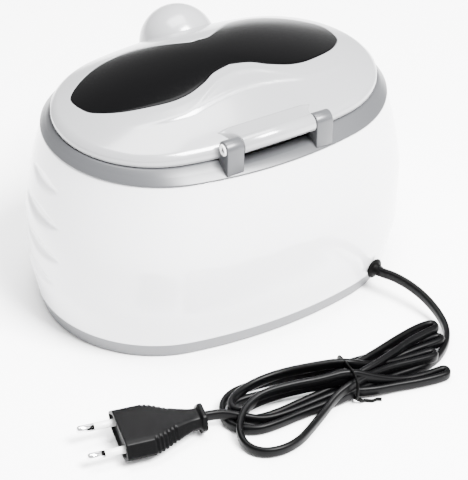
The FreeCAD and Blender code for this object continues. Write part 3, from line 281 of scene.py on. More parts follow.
nodeFinish = {
    "housing_shell": "whiteGloss", "top_rim": "rimGrey", "base_tray": "baseGrey",
    "foot_left_back": "rubberBlack", "foot_left_front": "rubberBlack",
    "foot_right_back": "rubberBlack", "foot_right_front": "rubberBlack",
    "lid_shell": "lidGrey", "lid_window": "smoked", "hinge_pin": "pinWhite",
    "front_pod": "podSilver", "on_button": "buttonGrey", "off_button": "buttonGrey",
    "indicator_lens": "lensClear", "indicator_led": "lensClear", "on_switch": "epoxyBlack",
    "off_switch": "epoxyBlack", "control_board": "boardGreen", "panel_screws": "zincSteel",
    "tank": "stainless", "tank_gasket": "gasketWhite", "piezo_disc": "ceramic",
    "transducer_lead_live": "wireRed", "transducer_lead_earth": "wireBlack",
    "generator_board": "boardGreen", "board_screws": "zincSteel", "case_screws": "zincSteel",
    "transformer_core": "ferrite", "transformer_winding": "copperTape",
    "bulk_capacitor": "canBlue", "film_capacitor": "dippedRed",
    "suppressor_capacitor": "boxYellow", "heat_sink": "extruded",
    "power_transistor": "epoxyBlack", "fuse": "fuseGlass", "fuse_clips": "brassClip",
    "mains_terminal": "blockGreen", "cord_grommet": "rubberBlack", "plug_pins": "nickel",
    "plug_pin_sleeves": "sleeveGrey", "cord_tie": "rubberBlack", "plug_body": "plugBlack",
    "cord_lead": "cordBlack", "cord_hank": "cordBlack", "cord_tail": "cordBlack",
}
for node, item in cad.items():
    item.data.materials.clear()
    item.data.materials.append(finishes[nodeFinish[node]])
print("finishes assigned")


# housing: five measured ovals joined by a smooth belly, with shallow grips at both ends
housing = {
    "sections": [(9.5, 103.4, 70.2), (34, 107.2, 75.6), (59, 107.3, 76), (84, 103.6, 72.6),
                 (107.8, 97, 67.3)],
    "around": 420, "step": 1.1, "wall": 2.4,
    # each grip: height of its upper edge, half width along the end, sag of the edge, height, depth
    "grips": [(94.5, 17, 3.6, 10, 1.8), (76.5, 22, 4.6, 12, 2.3), (56.5, 23, 4.6, 12, 2.3),
              (38, 17, 3.6, 10, 1.7)],
    "gripMiddle": -4, "gripFrom": 60, "gripDeepest": 0.5, "gripFade": 0.7,
    "meanLength": 100, "meanDepth": 68,
    # the two buttons' middles, X and Z, and the ways cut for them behind the pod
    "ways": [(-9.5, 96.5), (-5.6, 78)], "wayRadius": 8,
}


def gripDepth(x, y, z):
    across = y - housing["gripMiddle"]
    bottom = housing["gripDeepest"]
    deep = 0
    for top, half, sag, high, depth in housing["grips"]:
        t = across / half
        if abs(t) >= 1 or abs(x) < housing["gripFrom"]:
            continue
        below = (top - sag * t * t - z) / (high * (1 - t * t) + 0.01)
        if 0 < below < 1:
            fall = below / bottom if below < bottom else 1 - ease((below - bottom) / (1 - bottom))
            deep += depth * fall * (1 - t * t) ** housing["gripFade"]
    return deep


def housingRings():
    low, high = housing["sections"][0][0], housing["sections"][-1][0]
    count = int((high - low) / housing["step"])
    lengths = [(z, a) for z, a, b in housing["sections"]]
    depths = [(z, b) for z, a, b in housing["sections"]]
    rings = []
    for i in range(count + 1):
        z = low + (high - low) * i / count
        ring = []
        for k in range(housing["around"]):
            spot = ovalPoint(hermite(lengths, z), hermite(depths, z), k / housing["around"], 4)
            ring.append((spot.x - math.copysign(gripDepth(spot.x, spot.y, z), spot.x), spot.y, z))
        rings.append(ring)
    lengthShare = 1 - housing["wall"] / housing["meanLength"]
    depthShare = 1 - housing["wall"] / housing["meanDepth"]
    # the inner wall comes back down, on every third ring
    inside = [[(x * lengthShare, y * depthShare, z) for x, y, z in ring]
              for ring in rings[::-3] + [rings[0]]]
    return rings + inside + [rings[0]]


def behindButton(face):
    spot = face.calc_center_median()
    reach = min(math.hypot(spot.x * 1000 - x, spot.z * 1000 - z) for x, z in housing["ways"])
    return spot.y < 0 and reach < housing["wayRadius"]


housingBm = ringStack(housingRings())
hidden = [face for face in housingBm.faces if behindButton(face)]
bmesh.ops.delete(housingBm, geom=hidden, context="FACES")
place(toMesh(housingBm, "housing", finishes["whiteGloss"]), "housing", "base_unit", "white_gloss",
      "housing_shell")
print("housing shaped")


# top rim: two bevelled bands, deck and tank mouth, hinge ears with round tops
rim = {
    "levels": [(93.8, 64.1, 103.8), (94.2, 64.5, 103.8), (94.4, 64.7, 107.8),
               (97.1, 67.4, 107.8), (97.4, 67.7, 108.0), (97.4, 67.7, 108.5),
               (97.2, 67.35, 108.8), (95.1, 63.7, 111.4), (94.7, 63.05, 111.8),
               (93.1, 59.75, 114.35), (92.6, 59.1, 114.6), (89.7, 56.2, 114.6),
               (89.4, 55.9, 114.3), (89.4, 55.9, 107.1), (89.3, 55.8, 107), (77.9, 46.9, 107),
               (77.5, 46.5, 106.7), (77.5, 46.5, 104.5), (91.8, 62, 104.5), (93.8, 64.1, 103.8)],
    "around": 384, "slotHalf": 24, "slotTop": 111.6, "hinge": (61, 123),
    "earIn": 21.8, "earOut": 31.6, "earRadius": 4.6, "earFoot": 109.2, "earCore": 1.2,
    "earEase": 0.5, "earSharp": 0.9,
}


def earMesh(side):
    # hinge ear: round top on a straight foot, edges eased
    y, z = rim["hinge"]
    ear = bmesh.new()
    made = bmesh.ops.create_circle(ear, cap_ends=True, segments=48, radius=rim["earRadius"] * mm)
    for vert in made["verts"]:
        if vert.co.y < -0.0001:
            x = vert.co.x
            if abs(x) > rim["earCore"] * mm:
                x = math.copysign(rim["earRadius"], x) * mm
            vert.co = Vector((x, (rim["earFoot"] - z) * mm, 0))
    bmesh.ops.remove_doubles(ear, verts=ear.verts, dist=1e-6)
    grown = bmesh.ops.extrude_face_region(ear, geom=ear.faces[:])["geom"]
    lift = [g for g in grown if isinstance(g, bmesh.types.BMVert)]
    bmesh.ops.translate(ear, verts=lift, vec=(0, 0, (rim["earOut"] - rim["earIn"]) * mm))
    bmesh.ops.recalc_face_normals(ear, faces=ear.faces)
    sharp = [e for e in ear.edges
             if len(e.link_faces) == 2 and e.calc_face_angle(0) > rim["earSharp"]]
    bmesh.ops.bevel(ear, geom=sharp, offset=rim["earEase"] * mm, offset_type="OFFSET", segments=2,
                    profile=0.5, affect="EDGES", clamp_overlap=True, material=-1)
    start = rim["earIn"] if side > 0 else -rim["earOut"]
    stand = Matrix(((0, 0, 1, start * mm), (1, 0, 0, y * mm), (0, 1, 0, z * mm), (0, 0, 0, 1)))
    bmesh.ops.transform(ear, matrix=stand, verts=ear.verts)
    return ear


def rimMesh():
    count = rim["around"]
    rings = []
    for halfLength, halfDepth, height in rim["levels"]:
        ring = []
        for k in range(count):
            spot = ovalPoint(halfLength, halfDepth, k / count, 4)
            cutIn = spot.y > 0 and abs(spot.x) < rim["slotHalf"]
            ring.append((spot.x, spot.y, min(height, rim["slotTop"]) if cutIn else height))
        rings.append(ring)
    bm = ringStack(rings)
    for side in (-1, 1):
        joinTo(bm, earMesh(side))
    return toMesh(bm, "rim", finishes["rimGrey"])


place(rimMesh(), "rim", "base_unit", "rim_grey", "top_rim")
print("rim shaped")


# lid: dome between the window's outline and the outer oval, waves behind the waist
lid = {
    "halfLength": 92, "halfDepth": 58.5, "bottom": 115, "edge": 4.9, "high": 20.2, "power": 1.95,
    "wall": 2.2, "roll": 1.6, "rollFrom": 0.955, "rollPower": 2.2,
    "around": 320, "rows": 46, "bunch": 0.85, "under": 8,
    "glass": 1.4, "ledge": 3, "gap": 0.3, "nudge": 0.004,
    "pod": (-12, -62.5, 110.5, 22.4), "podBack": 24,
    # underside of the edge, from inside to outside: inset and height
    "lip": [(5.2, 116.4), (5.2, 111.7), (4.9, 111.5), (3.8, 111.5), (3.6, 111.7), (3.6, 115),
            (0.4, 115), (0, 115.4), (0, 116.6)],
    "lowWave": [(0, 32.4), (9, 32.8), (20, 33.9), (35, 35.8), (42, 35.1), (57, 30.9), (70, 24)],
    "highWave": [(0, 22), (9, 23.5), (20, 28.5), (30, 33.5), (40, 36)],
    "lowLift": 1.5, "lowEnd": 64, "lowFade": 7, "highLift": 1.1, "highEnd": 38, "highFade": 5,
    "waveRise": 2, "waveFrom": 0.15,
    "outline": [(78, -9), (75, 2), (63, 13.5), (45, 21.5), (32, 23.2), (20, 20), (11, 15.4),
                (0, 12.9)],
    "outlineFront": [(0, -18.3), (6.5, -18.5), (20, -28.4), (31.5, -36), (48, -36.2), (64.5, -29.3),
                     (76.4, -19.4), (78, -9)],
}


def smoothLine(points, dense=24):
    # even places along a curve through the points
    line = []
    padded = [points[0]] + points + [points[-1]]
    for a, b, c, d in zip(padded, padded[1:], padded[2:], padded[3:]):
        for i in range(dense):
            t = i / dense
            line.append(tuple(
                0.5 * (2 * q + (r - p) * t + (2 * p - 5 * q + 4 * r - w) * t * t
                       + (3 * q - p - 3 * r + w) * t ** 3) for p, q, r, w in zip(a, b, c, d)))
    line.append(points[-1])
    return [Vector((x, y)) for x, y in line]


def along(line, share):
    steps = [(b - a).length for a, b in zip(line, line[1:])]
    left = share * sum(steps)
    for a, b, step in zip(line, line[1:], steps):
        if left <= step:
            return a.lerp(b, left / step if step else 0)
        left -= step
    return line[-1]


backLine = smoothLine(lid["outline"])
frontLine = smoothLine(lid["outlineFront"])
peanutTable = {}


def outlineAt(share):
    # a place on the window's outline, share 0 to 1 from +X by the hinge side
    share %= 1.0
    quarter = int(share * 4) % 4
    part = share * 4 - quarter
    spot = along(backLine if quarter < 2 else frontLine, part if quarter in (0, 3) else 1 - part)
    return Vector((-spot.x if quarter in (1, 2) else spot.x, spot.y))


def peanut(share, offset=0.0):
    # the same place, moved out by the offset
    key = (round(share % 1.0, 6), offset)
    if key not in peanutTable:
        run = (outlineAt(share + lid["nudge"]) - outlineAt(share - lid["nudge"])).normalized()
        peanutTable[key] = outlineAt(share) + Vector((run.y, -run.x)) * offset
    return peanutTable[key]


# the outer oval's reach in each direction
reachTable = []
for k in range(720):
    spot = ovalPoint(lid["halfLength"], lid["halfDepth"], k / 720, 4)
    reachTable.append((math.atan2(spot.y, spot.x) % (2 * math.pi), spot.length))
reachTable.sort()


def domeShare(x, y):
    # 0 at the lid's middle, 1 on its outer oval
    angle = math.atan2(y, x) % (2 * math.pi)
    low, high = 0, len(reachTable) - 1
    while high - low > 1:
        middle = (low + high) // 2
        if reachTable[middle][0] <= angle:
            low = middle
        else:
            high = middle
    a, b = reachTable[low], reachTable[high]
    wide = b[0] - a[0]
    reach = a[1] + (b[1] - a[1]) * ((angle - a[0]) / wide if wide else 0)
    return math.hypot(x, y) / reach


def domeHeight(x, y, waves=0.0):
    share = domeShare(x, y)
    z = lid["bottom"] + lid["edge"] + lid["high"] * (1 - share ** lid["power"])
    rolled = max(0, (share - lid["rollFrom"]) / (1 - lid["rollFrom"]))
    z -= lid["roll"] * rolled ** lid["rollPower"]
    if waves > 0 and y > 0:
        side = abs(x)
        below = hermite(lid["lowWave"], side) - y
        if below > 0:
            fade = max(0, 1 - (side / lid["lowEnd"]) ** 3) * math.exp(-below / lid["lowFade"])
            z += waves * lid["lowLift"] * fade * ease(below / lid["waveRise"])
        below = hermite(lid["highWave"], side) - y
        if below > 0 and side < lid["highEnd"]:
            fade = (1 - (side / lid["highEnd"]) ** 2) * math.exp(-below / lid["highFade"])
            z += waves * lid["highLift"] * fade * ease(below / lid["waveRise"])
    return z


def clearOfPod(x, y, z, extra):
    # push a place out of the ball that the lid's front notch leaves for the pod
    px, py, pz, radius = lid["pod"]
    reach = (radius + extra) ** 2 - (z - pz) ** 2
    if reach <= 0 or (x - px) ** 2 + (y - py) ** 2 >= reach or y < py:
        return x, y
    back = lid["podBack"]
    fromY = py - back
    dx, dy = x - px, y - fromY
    size = math.hypot(dx, dy)
    dx, dy = dx / size, dy / size
    ahead = back * dy
    out = ahead + math.sqrt(max(0, ahead * ahead - back * back + reach))
    return px + dx * out, fromY + dy * out


def lidRing(blend, inner, outer, drop=0.0, height=None, waves=False, extra=0.0):
    # one ring between the window's outline (blend 0) and the outer oval (blend 1)
    waved = ease(blend / lid["waveFrom"]) if waves else 0

    def level(x, y):
        return height if height is not None else domeHeight(x, y, waved) - drop

    ring = []
    for k in range(lid["around"]):
        share = k / lid["around"]
        edge = ovalPoint(lid["halfLength"] - outer, lid["halfDepth"] - outer, share, 4).to_2d()
        x, y = peanut(share, inner).lerp(edge, blend)
        for _ in range(4):
            x, y = clearOfPod(x, y, level(x, y), extra)
        ring.append((x, y, level(x, y)))
    return ring


def lidRings():
    # underside out to the edge, round the lip, back over the top and down the window's ledge
    wall, ledge, glass, gap = lid["wall"], lid["ledge"], lid["glass"], lid["gap"]
    rings = [lidRing(0, -ledge, 0, wall)]
    for i in range(1, lid["under"] + 1):
        last = 0.4 if i == lid["under"] else 0
        rings.append(lidRing(i / lid["under"], -ledge, wall, wall + last, extra=wall))
    for inset, height in lid["lip"]:
        rings.append(lidRing(1, 0, inset, height=height, extra=inset))
    for i in range(lid["rows"], -1, -1):
        rings.append(lidRing((i / lid["rows"]) ** lid["bunch"], gap + 0.25, 0, 0, waves=True))
    for offset, drop in ((gap + 0.05, 0.12), (gap, 0.4), (gap, glass + 0.05),
                         (-ledge, glass + 0.05), (-ledge, wall)):
        rings.append(lidRing(0, offset, 0, drop))
    return rings


# hinge barrel, and the slab that runs from its top onto the dome with flared ends
fairing = {
    "barrel": [(-21.3, 3.2), (-21.3, 4.3), (-21.0, 4.6), (21.0, 4.6), (21.3, 4.3), (21.3, 3.2),
               (-21.3, 3.2)],
    "half": 21.3, "flare": 6.5, "flarePower": 2.4, "start": 0.6, "reach": 13, "top": 127.55,
    "fall": 1.2, "sink": 0.9, "skirt": 4.5,
}


def fairingMesh():
    y, z = rim["hinge"]
    bm = lathe(fairing["barrel"])
    bmesh.ops.translate(bm, verts=bm.verts, vec=(0, y * mm, z * mm))
    slab = bmesh.new()
    bmesh.ops.create_grid(slab, x_segments=40, y_segments=16, size=1)
    for vert in slab.verts:
        u, v = vert.co.x, (vert.co.y + 1) / 2
        half = fairing["half"] + fairing["flare"] * (1 - v) ** fairing["flarePower"]
        x, back = u * half, y + fairing["start"] - fairing["reach"] * (1 - v)
        top = fairing["top"] - fairing["fall"] * (1 - v)
        dome = domeHeight(x, back) + 0.05
        edge = max(0, (abs(x) - fairing["half"]) / fairing["flare"])
        height = top - (top - dome) * ease(edge) * fairing["sink"]
        vert.co = Vector((x, back, max(dome, height))) * mm
    border = [e for e in slab.edges if e.is_boundary]
    grown = bmesh.ops.extrude_edge_only(slab, edges=border)["geom"]
    skirt = [g for g in grown if isinstance(g, bmesh.types.BMVert)]
    bmesh.ops.translate(slab, verts=skirt, vec=(0, 0, -fairing["skirt"] * mm))
    joinTo(bm, slab)
    return bm


lidBm = ringStack(lidRings())
joinTo(lidBm, fairingMesh())
place(toMesh(lidBm, "lid", finishes["lidGrey"]), "lid", "lid", "lid_grey", "lid_shell")
print("lid shaped")


# smoked window, lying in the lid's rebate
pane = {"across": 120, "deep": 28, "edge": 0.3}


def windowMesh():
    bm = bmesh.new()
    bmesh.ops.create_grid(bm, x_segments=pane["across"], y_segments=pane["deep"], size=1)
    for vert in bm.verts:
        u, v = (vert.co.x + 1) / 2, (vert.co.y + 1) / 2
        back = peanut(0.5 * (1 - u))
        front = peanut(0.5 + 0.5 * u if u < 1 else 1.0)
        spot = front.lerp(back, v)
        vert.co = Vector((spot.x, spot.y, domeHeight(spot.x, spot.y))) * mm
    return toMesh(bm, "window", finishes["smoked"])


window = place(windowMesh(), "window", "lid", "smoked", "lid_window")
modifier(window, "SOLIDIFY", "thick", thickness=lid["glass"] * mm, offset=-1)
modifier(window, "BEVEL", "edge", width=pane["edge"] * mm, segments=2, limit_method="ANGLE",
         angle_limit=1.0)
print("window shaped")


# hinge pin: hollow white pin through both ears
pin = {"half": 32.3, "radius": 3.1, "bore": 1.6, "edge": 0.35}
bm = lathe([(-pin["half"], pin["bore"]), (-pin["half"], pin["radius"] - pin["edge"]),
            (-pin["half"] + pin["edge"], pin["radius"]), (pin["half"] - pin["edge"], pin["radius"]),
            (pin["half"], pin["radius"] - pin["edge"]), (pin["half"], pin["bore"]),
            (-pin["half"], pin["bore"])])
bmesh.ops.translate(bm, verts=bm.verts, vec=(0, rim["hinge"][0] * mm, rim["hinge"][1] * mm))
place(toMesh(bm, "hingePin", finishes["pinWhite"]), "hingePin", "base_unit", "pin_white",
      "hinge_pin")
print("hinge pin shaped")


# plug: flat two-pin moulding with grip ribs, a waisted neck and a flared collar
plug = {
    "spot": (120.7, 110.5, 9.1), "turn": 169.8, "tilt": -1.5, "roll": -8,
    "half": [(0, 17.3), (15, 17.2), (18, 16.6), (26, 13.0), (34, 8.9), (40, 6.8), (42.2, 6.6),
             (43.2, 8.6), (45, 8.7), (46, 7.2)],
    "high": [(0, 6.6), (15, 6.7), (18, 6.6), (26, 5.9), (34, 5.2), (40, 4.7), (42.2, 4.7),
             (43.2, 6.4), (45, 6.5), (46, 5.4)],
    "around": 96, "rows": 113, "step": 0.4, "slope": 5.5, "slopeShare": 0.45, "corner": 0.14,
    "cornerPull": 0.05, "ribFrom": 15, "ribTo": 29, "ribs": 6, "ribDeep": 0.45,
    "pinGap": 9.3, "recess": 1.2, "border": 1.6, "tail": [(5.8, 4.2), (2.0, 1.6)],
}


def plugSection(back, half, high, deep=0.0):
    # flat-topped section whose sides slope out to an edge at mid height, corners eased
    ring = []
    slope = min(plug["slope"], half * plug["slopeShare"])
    corners = [(half, 0), (half - slope, high), (slope - half, high), (-half, 0),
               (slope - half, -high), (half - slope, -high)]
    edges = list(zip(corners, corners[1:] + corners[:1]))
    for k in range(plug["around"]):
        spot = k / plug["around"] * len(edges)
        part = spot - int(spot)
        (x0, y0), (x1, y1) = edges[int(spot)]
        t = ease(part) * 0.25 + part * 0.75
        x, y = x0 + (x1 - x0) * t, y0 + (y1 - y0) * t
        near = max(0, 1 - min(part, 1 - part) / plug["corner"])
        pull = 1 - plug["cornerPull"] * near ** 2
        side = ease((abs(x) - half + slope * 1.3) / (slope * 0.6))
        ring.append((-back, x * pull - math.copysign(deep * side, x),
                     y * pull * (1 - deep * 0.06 * side)))
    return ring


def plugRings():
    # the recessed face, the body with its ribs, then the cord end
    first = plug["half"][0][1], plug["high"][0][1]
    recess = plug["recess"]
    inner = [size - plug["border"] for size in first]
    rings = [plugSection(recess, *inner), plugSection(0.1, *inner),
             plugSection(0, inner[0] + 0.15, inner[1] + 0.15),
             plugSection(0, first[0] - 0.5, first[1] - 0.5), plugSection(plug["step"], *first)]
    for i in range(1, plug["rows"] + 1):
        back = plug["step"] + i * plug["step"]
        deep = 0
        if plug["ribFrom"] < back < plug["ribTo"]:
            wave = (back - plug["ribFrom"]) / (plug["ribTo"] - plug["ribFrom"]) * plug["ribs"]
            deep = plug["ribDeep"] * (1 - math.cos(wave * 2 * math.pi))
        rings.append(plugSection(back, hermite(plug["half"], back), hermite(plug["high"], back),
                                 deep))
    end = plug["half"][-1][0]
    return rings + [plugSection(end, *size) for size in plug["tail"]]


plugPlace = (Matrix.Translation(Vector(plug["spot"]) * mm)
             @ Matrix.Rotation(math.radians(plug["turn"] + 180), 4, "Z")
             @ Matrix.Rotation(math.radians(plug["tilt"]), 4, "Y")
             @ Matrix.Rotation(math.radians(plug["roll"]), 4, "X"))
bm = ringStack(plugRings(), capFirst=True, capLast=True)
bmesh.ops.transform(bm, matrix=plugPlace, verts=bm.verts)
place(toMesh(bm, "plug", finishes["plugBlack"]), "plug", "base_unit", "plug_black", "plug_body")


def pinPair(profile, name, material, slot, node):
    # a turned piece, once at each side of the plug
    bm = bmesh.new()
    for side in (-1, 1):
        one = lathe(profile, 32)
        bmesh.ops.translate(one, verts=one.verts, vec=(0, side * plug["pinGap"] * mm, 0))
        joinTo(bm, one)
    bmesh.ops.transform(bm, matrix=plugPlace, verts=bm.verts)
    return place(toMesh(bm, name, material), name, "base_unit", slot, node)


pinPair([(-7.9, 0), (-7.9, 1.8), (10, 1.8), (10, 2), (17.6, 2), (18.5, 1.6), (18.9, 0.9),
         (19, 0)], "plugPins", finishes["nickel"], "nickel", "plug_pins")
pinPair([(-7.9, 1.8), (-7.9, 2), (9.8, 2), (10, 1.9), (10, 1.8)], "plugSleeves",
        finishes["sleeveGrey"], "sleeve_grey", "plug_pin_sleeves")
print("plug shaped")


# tank: drawn steel pan with a rolled mouth and a rounded floor
tank = {
    "mouth": (77.5, 46.5, 103.3), "taper": 4, "floor": 52.1, "corner": 7, "wall": 0.8,
    "around": 220, "rows": 8,
    # rolled mouth, from the flange in: how far out and how far down
    "roll": [(5, 0), (0.9, 0), (0.3, 0.2), (0, 0.9)],
    "bottom": [(50, 26), (30, 14), (12, 6)],
}


def tankRings():
    length, depth, top = tank["mouth"]
    corner, rows, around = tank["corner"], tank["rows"], tank["around"]
    low = tank["floor"] + corner
    levels = [(length + out, depth + out, top - down) for out, down in tank["roll"]]
    for i in range(1, rows + 1):
        lean = tank["taper"] * (i / rows)
        levels.append((length - lean, depth - lean, top + (low - top) * (i / rows)))
    endLength, endDepth = length - tank["taper"] - corner, depth - tank["taper"] - corner
    for i in range(1, rows + 1):
        angle = math.pi / 2 * i / rows
        levels.append((endLength + corner * math.cos(angle), endDepth + corner * math.cos(angle),
                       low - corner * math.sin(angle)))
    levels += [(a, b, tank["floor"]) for a, b in tank["bottom"]]
    return [[ovalPoint(a, b, k / around, 4) + Vector((0, 0, z)) for k in range(around)]
            for a, b, z in levels]


tankItem = place(toMesh(ringStack(tankRings(), capLast=True), "tank", finishes["stainless"]),
                 "tank", "base_unit", "stainless", "tank")
modifier(tankItem, "SOLIDIFY", "steel", thickness=tank["wall"] * mm, offset=0)


# push buttons, light pipe and feet: turned pieces, as (along, radius)
turnedParts = {
    "buttonFront": [(0.55, 0), (0.45, 2), (0.2, 3.6), (0, 4.5), (0.15, 5.1), (0.6, 5.5),
                    (6.4, 5.5), (6.4, 6.2), (6.6, 6.4), (7.2, 6.4), (7.4, 6.2), (7.4, 2.2)],
    "buttonStem": [(-0.3, 2), (0, 1.6), (0, 0)],  # along is from the piece's back end
    "pipeFront": [(0, 0), (0.05, 0.9), (0.3, 1.6), (0.8, 2)],
    "pipeBack": [(-0.3, 2), (0, 1.7), (0, 0)],
    "pipe": (-7.6, 87.4),
    "foot": [(0.25, 0), (0.25, 2.5), (0, 3.2), (0, 5.3), (0.2, 5.8), (0.5, 6), (1.7, 6),
             (1.8, 5.8), (1.8, 0)],
}


def turned(name, node, profile, spot, matrix, material, body, slot):
    bm = lathe(profile)
    stand = Matrix.Translation(Vector(spot) * mm) @ matrix
    bmesh.ops.transform(bm, matrix=stand, verts=bm.verts)
    return place(toMesh(bm, name, material), name, body, slot, node)


def nodeCorners(node):
    # the corners of a CAD node's box, in millimetres
    return [cad[node].matrix_world @ Vector(corner) * 1000 for corner in cad[node].bound_box]


def turnedInward(name, node, start, end, x, z, material, body, slot):
    # runs in from the front of its CAD node to its back
    depths = [corner.y for corner in nodeCorners(node)]
    front, long = min(depths), max(depths) - min(depths)
    profile = start + [(long + back, radius) for back, radius in end]
    turned(name, node, profile, (x, front, z), inward, material, body, slot)


inward = Matrix.Rotation(math.pi / 2, 4, "Z")
upward = Matrix.Rotation(-math.pi / 2, 4, "Y")
for name, (x, z) in zip(("on", "off"), housing["ways"]):
    turnedInward(name + "Button", name + "_button", turnedParts["buttonFront"],
                 turnedParts["buttonStem"], x, z, finishes["buttonGrey"], name + "_key",
                 "button_grey")
turnedInward("lightPipe", "indicator_lens", turnedParts["pipeFront"], turnedParts["pipeBack"],
             *turnedParts["pipe"], finishes["lensClear"], "base_unit", "lens_clear")
for name in ("left_back", "left_front", "right_back", "right_front"):
    middle = sum(nodeCorners("foot_" + name), Vector()) / 8
    turned("foot" + name.title().replace("_", ""), "foot_" + name, turnedParts["foot"],
           (middle.x, middle.y, 0), upward, finishes["rubberBlack"], "base_unit", "rubber_black")
print("tank, buttons and feet shaped")


# cord grommet: thin disc on the housing with a short flared neck
gland = {"spot": (-65.4, 63, 14.4), "turn": 106,
         "profile": [(-6, 0), (-6, 4.4), (-4.6, 4.7), (-3.6, 4.2), (-3.2, 4.0), (-0.3, 4.0),
                     (-0.1, 5.4), (0.3, 5.7), (0.8, 5.6), (1.1, 5.2), (1.3, 4.2), (1.9, 3.5),
                     (3.2, 3.1), (5, 2.85), (5.4, 2.6), (5.5, 0)]}
bm = lathe(gland["profile"])
bmesh.ops.transform(bm, verts=bm.verts, matrix=Matrix.Translation(Vector(gland["spot"]) * mm)
                    @ Matrix.Rotation(math.radians(gland["turn"]), 4, "Z"))
place(toMesh(bm, "grommet", finishes["rubberBlack"]), "grommet", "base_unit", "rubber_black",
      "cord_grommet")


# twist tie: a flat wire band round the bundle, its ends twisted together
tie = {
    "x": -4.5, "tilt": 4, "middle": 129.6, "half": 12.4, "low": 1.5, "high": 16.4, "wide": 2.4,
    "thick": 1.0, "steps": 32, "start": -0.6, "square": 0.62, "tailSteps": 8, "tailStep": 1.6,
    "tailSide": 0.6, "tailFall": 0.9, "twist": 0.6, "lowest": 1.2,
}


def tieRoute():
    route = []
    rise = (tie["high"] - tie["low"]) / 2
    for k in range(tie["steps"] + 1):
        angle = 2 * math.pi * k / tie["steps"] + tie["start"]
        cosine, sine = math.cos(angle), math.sin(angle)
        y = tie["middle"] + tie["half"] * math.copysign(abs(cosine) ** tie["square"], cosine)
        z = (tie["low"] + tie["high"]) / 2 + rise * math.copysign(abs(sine) ** tie["square"], sine)
        route.append((tie["x"] + tie["tilt"] * cosine * 0.5, y, z))
    end = route[-1]
    for k in range(1, tie["tailSteps"] + 1):
        turn = k * tie["tailStep"]
        route.append((end[0] - turn, end[1] + tie["tailSide"] * k + tie["twist"] * math.sin(turn),
                      max(tie["lowest"], end[2] - tie["tailFall"] * k
                          + tie["twist"] * math.cos(turn))))
    return route


def flatCurve(name, route, thick=0.0, wide=0.0, material=None):
    # a smooth curve through a route, given a flat section with round edges if it has a size
    curve = bpy.data.curves.new(name, "CURVE")
    curve.dimensions = "3D"
    spline = curve.splines.new("NURBS")
    spline.points.add(len(route) - 1)
    for point, spot in zip(spline.points, route):
        point.co = [c * mm for c in spot] + [1]
    spline.order_u = 3
    spline.use_endpoint_u = True
    if material:
        curve.bevel_depth = thick * mm / 2
        curve.extrude = (wide - thick) * mm / 2
        curve.use_fill_caps = True
        curve.materials.append(material)
    return curve


tieCurve = flatCurve("twistTie", tieRoute(), tie["thick"], tie["wide"], finishes["rubberBlack"])
tieCurve.splines[0].resolution_u = 4
tieCurve.bevel_resolution = 2
tieItem = bpy.data.objects.new("twistTie", tieCurve)
bpy.context.scene.collection.objects.link(tieItem)
settle(tieItem, "base_unit", "rubber_black", "cord_tie")
print("grommet and tie shaped")


# camera: place in millimetres, and the directions of its right, up and back
view = {
    "spot": (472.39, 793.83, 687.11), "lens": 152.53, "sensor": 36, "near": 0.05, "far": 20,
    "right": (-0.85839, 0.5128, 0.01405), "up": (-0.29123, -0.50967, 0.80958),
    "back": (0.42231, 0.69085, 0.58684),
}
cameraData = bpy.data.cameras.new("camera")
cameraData.sensor_fit = "VERTICAL"
cameraData.sensor_height = view["sensor"]
cameraData.lens = view["lens"]
cameraData.clip_start = view["near"]
cameraData.clip_end = view["far"]
camera = bpy.data.objects.new("camera", cameraData)
cameraTurn = Matrix((view["right"], view["up"], view["back"])).transposed().to_4x4()
camera.matrix_world = Matrix.Translation(Vector(view["spot"]) * mm) @ cameraTurn
bpy.context.scene.collection.objects.link(camera)
bpy.context.scene.camera = camera
print("camera set")


